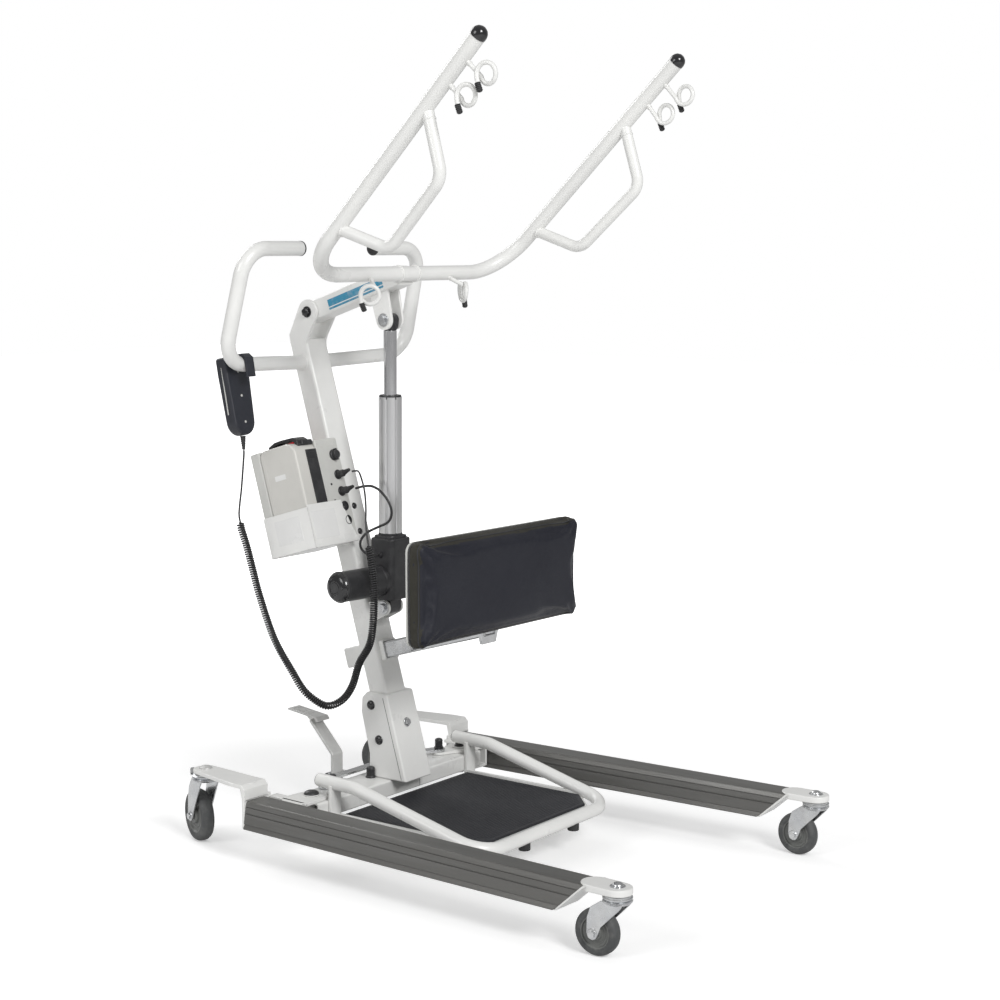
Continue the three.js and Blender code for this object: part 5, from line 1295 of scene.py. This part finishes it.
# The blown form draws in at the sides, so it is let out again to the size of its board.
widest = max(abs(v.co.x - centre_x) for v in cushion.data.vertices)
tallest = max(abs(v.co.z - centre_z) for v in cushion.data.vertices)
for v in cushion.data.vertices:
    v.co.x = centre_x + (v.co.x - centre_x) * (half_x - MM) / widest
    v.co.z = centre_z + (v.co.z - centre_z) * (half_z - MM) / tallest
    v.co.y = min(v.co.y, PAD_BACK * MM)
SEAM_Y, SEAM_WIDTH, SEAM_DEPTH = (PAD_FRONT + 7) * MM, 2.2 * MM, 1.6 * MM
PUCKER_DEPTH, WAVE_DEPTH = 2.4 * MM, 1.2 * MM
for v in cushion.data.vertices:
    # The gusset seam pulls in round the rim, and shallow puckers run in from it.
    rim = max(abs(v.co.x - centre_x) / half_x, abs(v.co.z - centre_z) / half_z)
    pull = math.exp(-((v.co.y - SEAM_Y) / SEAM_WIDTH) ** 2) * SEAM_DEPTH
    if rim > 0.86:
        v.co.x -= pull * (v.co.x - centre_x) / half_x
        v.co.z -= pull * (v.co.z - centre_z) / half_z
    along = v.co.x * 95 + v.co.z * 60
    pucker = math.sin(along * 2.1) * math.sin(along * 0.7 + 1.3) * max(0.0, rim - 0.72) * PUCKER_DEPTH
    if v.co.y < SEAM_Y:
        v.co.y += pucker + WAVE_DEPTH * math.sin(v.co.x * 17 + 0.6) * math.sin(v.co.z * 23)
cushion.data.shade_smooth()
cushion.modifiers.new("fine", "SUBSURF").levels = 1
cushion.modifiers["fine"].render_levels = 1
bake_modifiers(cushion)
cushion.data.shade_smooth()
cushion.data.materials.clear()
cushion.data.materials.append(VINYL)
cushion.data.materials.append(VINYL_EDGE)
for face in cushion.data.polygons:
    if face.center.y > SEAM_Y and abs(face.normal.y) < 0.75:
        face.material_index = 1
cover = bmesh.new()
cover.from_mesh(cushion.data)
cover_skin = BVHTree.FromBMesh(cover)
cover.free()
cushion.data.transform(PAD @ Matrix.Scale(1 / MM, 4))
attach(cushion, "knee_pad")
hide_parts("knee_cushion")

welt = Shape(PAD)
rim = rounded_box(-PAD_HALF, PAD_HALF, PAD_BOTTOM, PAD_TOP, 17, 8)
rim.append(rim[0])
for y, r in ((PAD_FRONT + 7, 1.2), (PAD_BACK - 2.5, 1.1)):
    ring = []
    for (x, z), (next_x, next_z) in zip(rim, rim[1:]):
        pieces = max(1, round(math.hypot(next_x - x, next_z - z) / 12))
        for i in range(pieces):
            spot = Vector((x + (next_x - x) * i / pieces, y, z + (next_z - z) * i / pieces))
            ring.append(cover_skin.find_nearest(spot * MM)[0] / MM)
    welt.sweep([*ring, ring[0]], [r] * (len(ring) + 1), 8)
welt.done("knee_cushion_seams", "knee_pad", THREAD)

# ---------------------------------------------------------------- control box and battery
# Faces of the two cases in the mast's frame: SPLIT is where the battery meets the box, and SHELF is its back.
NEAR, SPLIT, FRONT, SHELF, REAR, BOTTOM, TOP = -155, -95, -20, 72, 97, 478, 682
box = Shape(MAST)
box.brick(SPLIT + 0.3, -30.3, FRONT, REAR, BOTTOM, TOP, edge=4, segments=4)
box.brick(NEAR, SPLIT + 6, SHELF + 0.3, REAR, BOTTOM, TOP, edge=4, segments=4)
box.brick(-91, -36, FRONT - 0.8, FRONT + 1, 500, 668, edge=0.8)
for x, z in ((-88, 488), (-38, 488), (-88, 674), (-38, 674)):
    box.rod((x, FRONT - 0.8, z), (x, FRONT + 1, z), 2.6, edge=0.3)
box.brick(-64, -48, 80, 93, TOP - 1, TOP + 1.6, edge=1)
box.done("control_box_case", "root", GREY_CASE, "control_unit")
jacks = Shape(MAST)
HANDSET_JACK_Z, ACTUATOR_JACK_Z, JACK_X = 609, 576, -50
for z in (HANDSET_JACK_Z, ACTUATOR_JACK_Z, 547, 519):
    jacks.lathe(
        [(0, -2), (9.6, -2), (9.6, 2.2), (8.4, 3.2), (7.4, 3.2), (7.0, 1.2), (0, 1.2)], (JACK_X, FRONT, z),
        (0, -1, 0),
    )
jacks.lathe(
    [(0, -2), (11, -2), (11, 3), (10, 4.4), (8, 5), (8, 11.5), (7, 12.4), (0, 12.6)], (JACK_X, FRONT, 648),
    (0, -1, 0),
)
jacks.brick(-52, -48, FRONT - 12, FRONT - 4, 636.5, 659.5, edge=1.4)
for z in (592, 560, 532):
    jacks.rod((-74, FRONT - 1.6, z), (-74, FRONT + 1, z), 2.2, edge=0.2)
jacks.done("control_box_sockets", "root", BLACK_PLASTIC)
for node_name, z, piece in (
    ("handset_plug", HANDSET_JACK_Z, "handset_lead_plug"),
    ("actuator_plug", ACTUATOR_JACK_Z, "actuator_lead_plug"),
):
    plug = Shape(MAST)
    face = FRONT - 3.3
    grip_section = [
        (0, 0), (7, 0), (7, 3), (6.4, 3.6), (6.4, 5), (7, 5.6), (7, 12), (6.2, 13.4), (5.4, 13.8), (0, 13.8),
    ]
    plug.lathe(grip_section, (JACK_X, face, z), (0, -1, 0))
    start, stop = Vector((JACK_X, face - 12, z)), Vector((JACK_X, face - 29.6, z + 3))
    heading = (stop - start).normalized()
    ribs = [(0, 0)]
    for i in range(5):
        r = 5.4 - i * 0.5
        ribs += [(r, i * 3.4), (r, i * 3.4 + 2.0), (r - 0.9, i * 3.4 + 2.3), (r - 0.9, i * 3.4 + 3.2)]
    ribs += [(3.0, 17.4), (0, 17.6)]
    plug.lathe(ribs, start, heading, 20)
    plug.done(piece, "root", BLACK_RUBBER, node_name, slot="black_plastic")

battery = Shape(MAST)
side_view = [
    (FRONT - 1, BOTTOM), (SHELF, BOTTOM), (SHELF, TOP - 10), (SHELF - 8, TOP), (FRONT + 20, TOP),
    (FRONT + 8, TOP - 4), (FRONT - 1, TOP - 16),
]
battery.plate(side_view, NEAR, SPLIT, "yz", edge=4, segments=4)
battery.brick(NEAR - 0.25, NEAR + 3, 62, 64, 500, 670, edge=0.2)
battery.done("battery_case_body", "battery", BATTERY_CASE, "battery_pack")
strip = Shape(MAST)
strip.brick(-126, -96, FRONT - 2.2, FRONT, 486, TOP - 17, edge=0.8)
strip.brick(-126, -96, FRONT + 2, FRONT + 24, TOP - 8, TOP + 3, edge=2.5)
strip.brick(-120, -102, FRONT - 2.8, FRONT - 1, 646, 660, edge=0.6)
arch = [
    (FRONT + 4, TOP - 8), (FRONT + 5, TOP + 4), (FRONT + 14, TOP + 10.5), (26, TOP + 12), (44, TOP + 11.4),
    (SHELF - 12, TOP + 6), (SHELF - 6, TOP - 8),
]
arch_inner = [
    (SHELF - 14, TOP - 7), (SHELF - 18, TOP + 1), (40, TOP + 5.4), (26, TOP + 6), (FRONT + 18, TOP + 5),
    (FRONT + 12, TOP - 1), (FRONT + 11, TOP - 7),
]
strip.plate(arch + arch_inner, NEAR + 18, SPLIT - 10, "yz", edge=1.4)
strip.done("battery_handle_and_strip", "battery", BLACK_PLASTIC)
blank = Shape(MAST)
blank.brick(NEAR - 0.3, NEAR + 0.4, 16, 44, 618, 628, edge=0.1)
blank.done("battery_blank_label", "battery", LABEL)

tray = Shape(MAST)
W = 1.6
tray_front = FRONT - 1 - 0.3 - W
tray_low = BOTTOM - 0.3 - W
tray_near = NEAR - 0.3 - W
tray.plate([(tray_near, tray_low), (-32, tray_low), (-48, tray_low + 40), (-60, 560), (tray_near, 560)],
           tray_front, tray_front + W, "xz", edge=0.5)
tray.brick(tray_near, tray_near + W, tray_front, REAR, tray_low, 556, edge=0.5)
tray.brick(tray_near, -30.3, tray_front, REAR, tray_low, tray_low + W, edge=0.5)
tray.done("battery_cradle", "root", POWDER_COAT, "battery_tray")
label = Shape(MAST)
label.brick(-150, -84, tray_front - 0.25, tray_front + 0.3, 492, 546, edge=0.1)
label.brick(tray_near - 0.25, tray_near + 0.3, 4, 70, 496, 544, edge=0.1)
label.done("cradle_blank_labels", "root", LABEL)

STOP_PLACE = (-72, 52)
stop = Shape(MAST)
mushroom = [
    (0, 0), (8.6, 0), (8.6, 9), (14.6, 9.6), (17.4, 10.6), (18.5, 13), (18.1, 15.6), (16.2, 18), (12, 20),
    (6, 21.2), (0, 21.5),
]
stop.lathe(mushroom, (*STOP_PLACE, TOP - 6), UP, 40)
stop.done("stop_mushroom", "stop_button", STOP_RED, "stop_button")
collar = Shape(MAST)
collar.lathe(
    [(15.2, 0), (19.5, 0), (19.5, 0.4), (18.8, 0.6), (15.2, 0.6), (15.2, 0)], (*STOP_PLACE, TOP - 0.2), UP,
    40,
)
collar.done("stop_button_collar", "root", BLACK_PLASTIC)

# ---------------------------------------------------------------- handset
hand = Shape(HANDSET)
shell = arc(0, -48, 27, 180, 360, 16) + [
    (27.6, -36), (29.5, 10), (31, 40), (31, 57),
] + arc(25, 69, 6, 0, 90, 5)
shell += [(x, z) for x, z in arc(-25, 69, 6, 90, 180, 5)] + [(-31, 57), (-31, 40), (-29.5, 10), (-27.6, -36)]
hand.plate(shell, -13, 13, "xz", edge=4.5, segments=4)
# Centre of the push handle's tube beside the handset, in the handset's own frame.
share = (263 - 208) / (263 - 38)
behind = 531 + (546.2 - 531) * share - 551.5
above = 921 + (914.5 - 921) * share - 858
tilt = math.radians(HANDSET_LEAN)
hook_y = behind * math.cos(tilt) - above * math.sin(tilt)
hook_z = behind * math.sin(tilt) + above * math.cos(tilt)
room = HANDLE_R + 1
top = hook_z + room
strap = [(hook_y - room - 4.5, hook_z - 26), (hook_y - room, hook_z - 26)]
strap += arc(hook_y, hook_z, room, 180, 90, 10)
strap += [(-10, top), (-8, 66), (6, 66), (6, top + 10.5), (0, top + 10.5), (-3, top + 4.5),
          (hook_y - room + 4, top + 4.5), (hook_y - room - 4.5, top - 4)]
hand.plate(strap, -11, 11, "yz", edge=1)
hand.done("handset_case", "root", HANDSET_SHELL, "handset_body")
trim = Shape(HANDSET)
for z in (46, 0, -50):
    trim.rod((0, -13.4, z), (0, -12.5, z), 2.4, edge=0.2)
trim.brick(-31.2, -29.0, -1.2, 0.2, -34, 56, edge=0.3)
trim.brick(-19, 19, 12.6, 13.5, -22, 58, edge=0.4)
trim.done("handset_trim", "root", GREY_CASE)
for label_name, z in (("up", 36), ("down", 12)):
    button = Shape(HANDSET)
    button.plate(rounded_box(-8.4, 8.4, z - 6.4, z + 6.4, 2.5), 11.4, 14.8, "xz", edge=0.8)
    button.done(
        f"handset_key_{label_name}", f"button_{label_name}", GREY_CASE, f"handset_button_{label_name}",
    )
relief = Shape()
start, stop = Vector((-208, 537.2, 783.5)), Vector((-208, 535.5, 757))
ribs = [(0, 0)]
for i in range(6):
    r = 5.4 - i * 0.42
    ribs += [(r, i * 4.3), (r, i * 4.3 + 2.6), (r - 0.8, i * 4.3 + 3.0), (r - 0.8, i * 4.3 + 4.0)]
ribs += [(2.6, 26.2), (0, 26.4)]
relief.lathe(ribs, start, stop - start, 20)
relief.done(
    "handset_cord_relief", "root", BLACK_RUBBER, "handset_strain_relief", slot="black_plastic",
)

# ---------------------------------------------------------------- floor and light
FADE_START, FADE_END = 0.9, 2.6
floor_mesh = bmesh.new()
bmesh.ops.create_grid(floor_mesh, x_segments=1, y_segments=1, size=14)
data = bpy.data.meshes.new("floor")
floor_mesh.to_mesh(data)
floor_mesh.free()
floor = bpy.data.objects.new("floor", data)
bpy.context.scene.collection.objects.link(floor)
floor_paint = bpy.data.materials.new("pale_floor")
floor_paint.use_nodes = True
floor_shader = floor_paint.node_tree.nodes["Principled BSDF"]
floor_shader.inputs["Base Color"].default_value = (0.86, 0.86, 0.86, 1)
floor_shader.inputs["Roughness"].default_value = 0.7
floor_shader.inputs["Specular IOR Level"].default_value = 0.2
floor_shader.inputs["Emission Color"].default_value = (1, 1, 1, 1)
# The floor fades into the white backdrop away from the lift, to the eye only.
floor_nodes = floor_paint.node_tree
reach = node(floor_nodes, "VectorMath", operation="LENGTH")
floor_nodes.links.new(node(floor_nodes, "TexCoord").outputs["Object"], reach.inputs[0])
fade = remapped(floor_nodes, reach.outputs["Value"], FADE_START, FADE_END, 0.34, 1.1)
seen = node(floor_nodes, "LightPath").outputs["Is Camera Ray"]
floor_nodes.links.new(
    arithmetic(floor_nodes, "MULTIPLY", fade, seen), floor_shader.inputs["Emission Strength"],
)
data.materials.append(floor_paint)

# The backdrop shows white, and lights the lift more dimly than it looks.
world = bpy.data.worlds.new("studio")
bpy.context.scene.world = world
world.use_nodes = True
sky = world.node_tree
seen_by = sky.nodes.new("ShaderNodeLightPath")
strength = sky.nodes.new("ShaderNodeMapRange")
strength.inputs["To Min"].default_value = 0.34
strength.inputs["To Max"].default_value = 1.0
sky.links.new(seen_by.outputs["Is Camera Ray"], strength.inputs["Value"])
sky.links.new(strength.outputs["Result"], sky.nodes["Background"].inputs["Strength"])
sky.nodes["Background"].inputs["Color"].default_value = (1, 1, 1, 1)
bpy.context.scene.view_settings.view_transform = "Standard"


def soft_lamp(name, place, target, size, power):
    lamp = bpy.data.lights.new(name, "AREA")
    lamp.size = size
    lamp.energy = power
    holder = bpy.data.objects.new(name, lamp)
    holder.location = place
    holder.rotation_euler = (Vector(target) - Vector(place)).to_track_quat("-Z", "Y").to_euler()
    bpy.context.scene.collection.objects.link(holder)


soft_lamp("key_light", (-2.6, -6.4, 5.0), (0, 0, 0.7), 2.6, 400)
soft_lamp("side_light", (-5.4, 1.4, 3.4), (0, 0, 0.8), 2.6, 95)
soft_lamp("back_light", (1.4, 5.6, 4.0), (0, 0, 0.8), 3.0, 110)
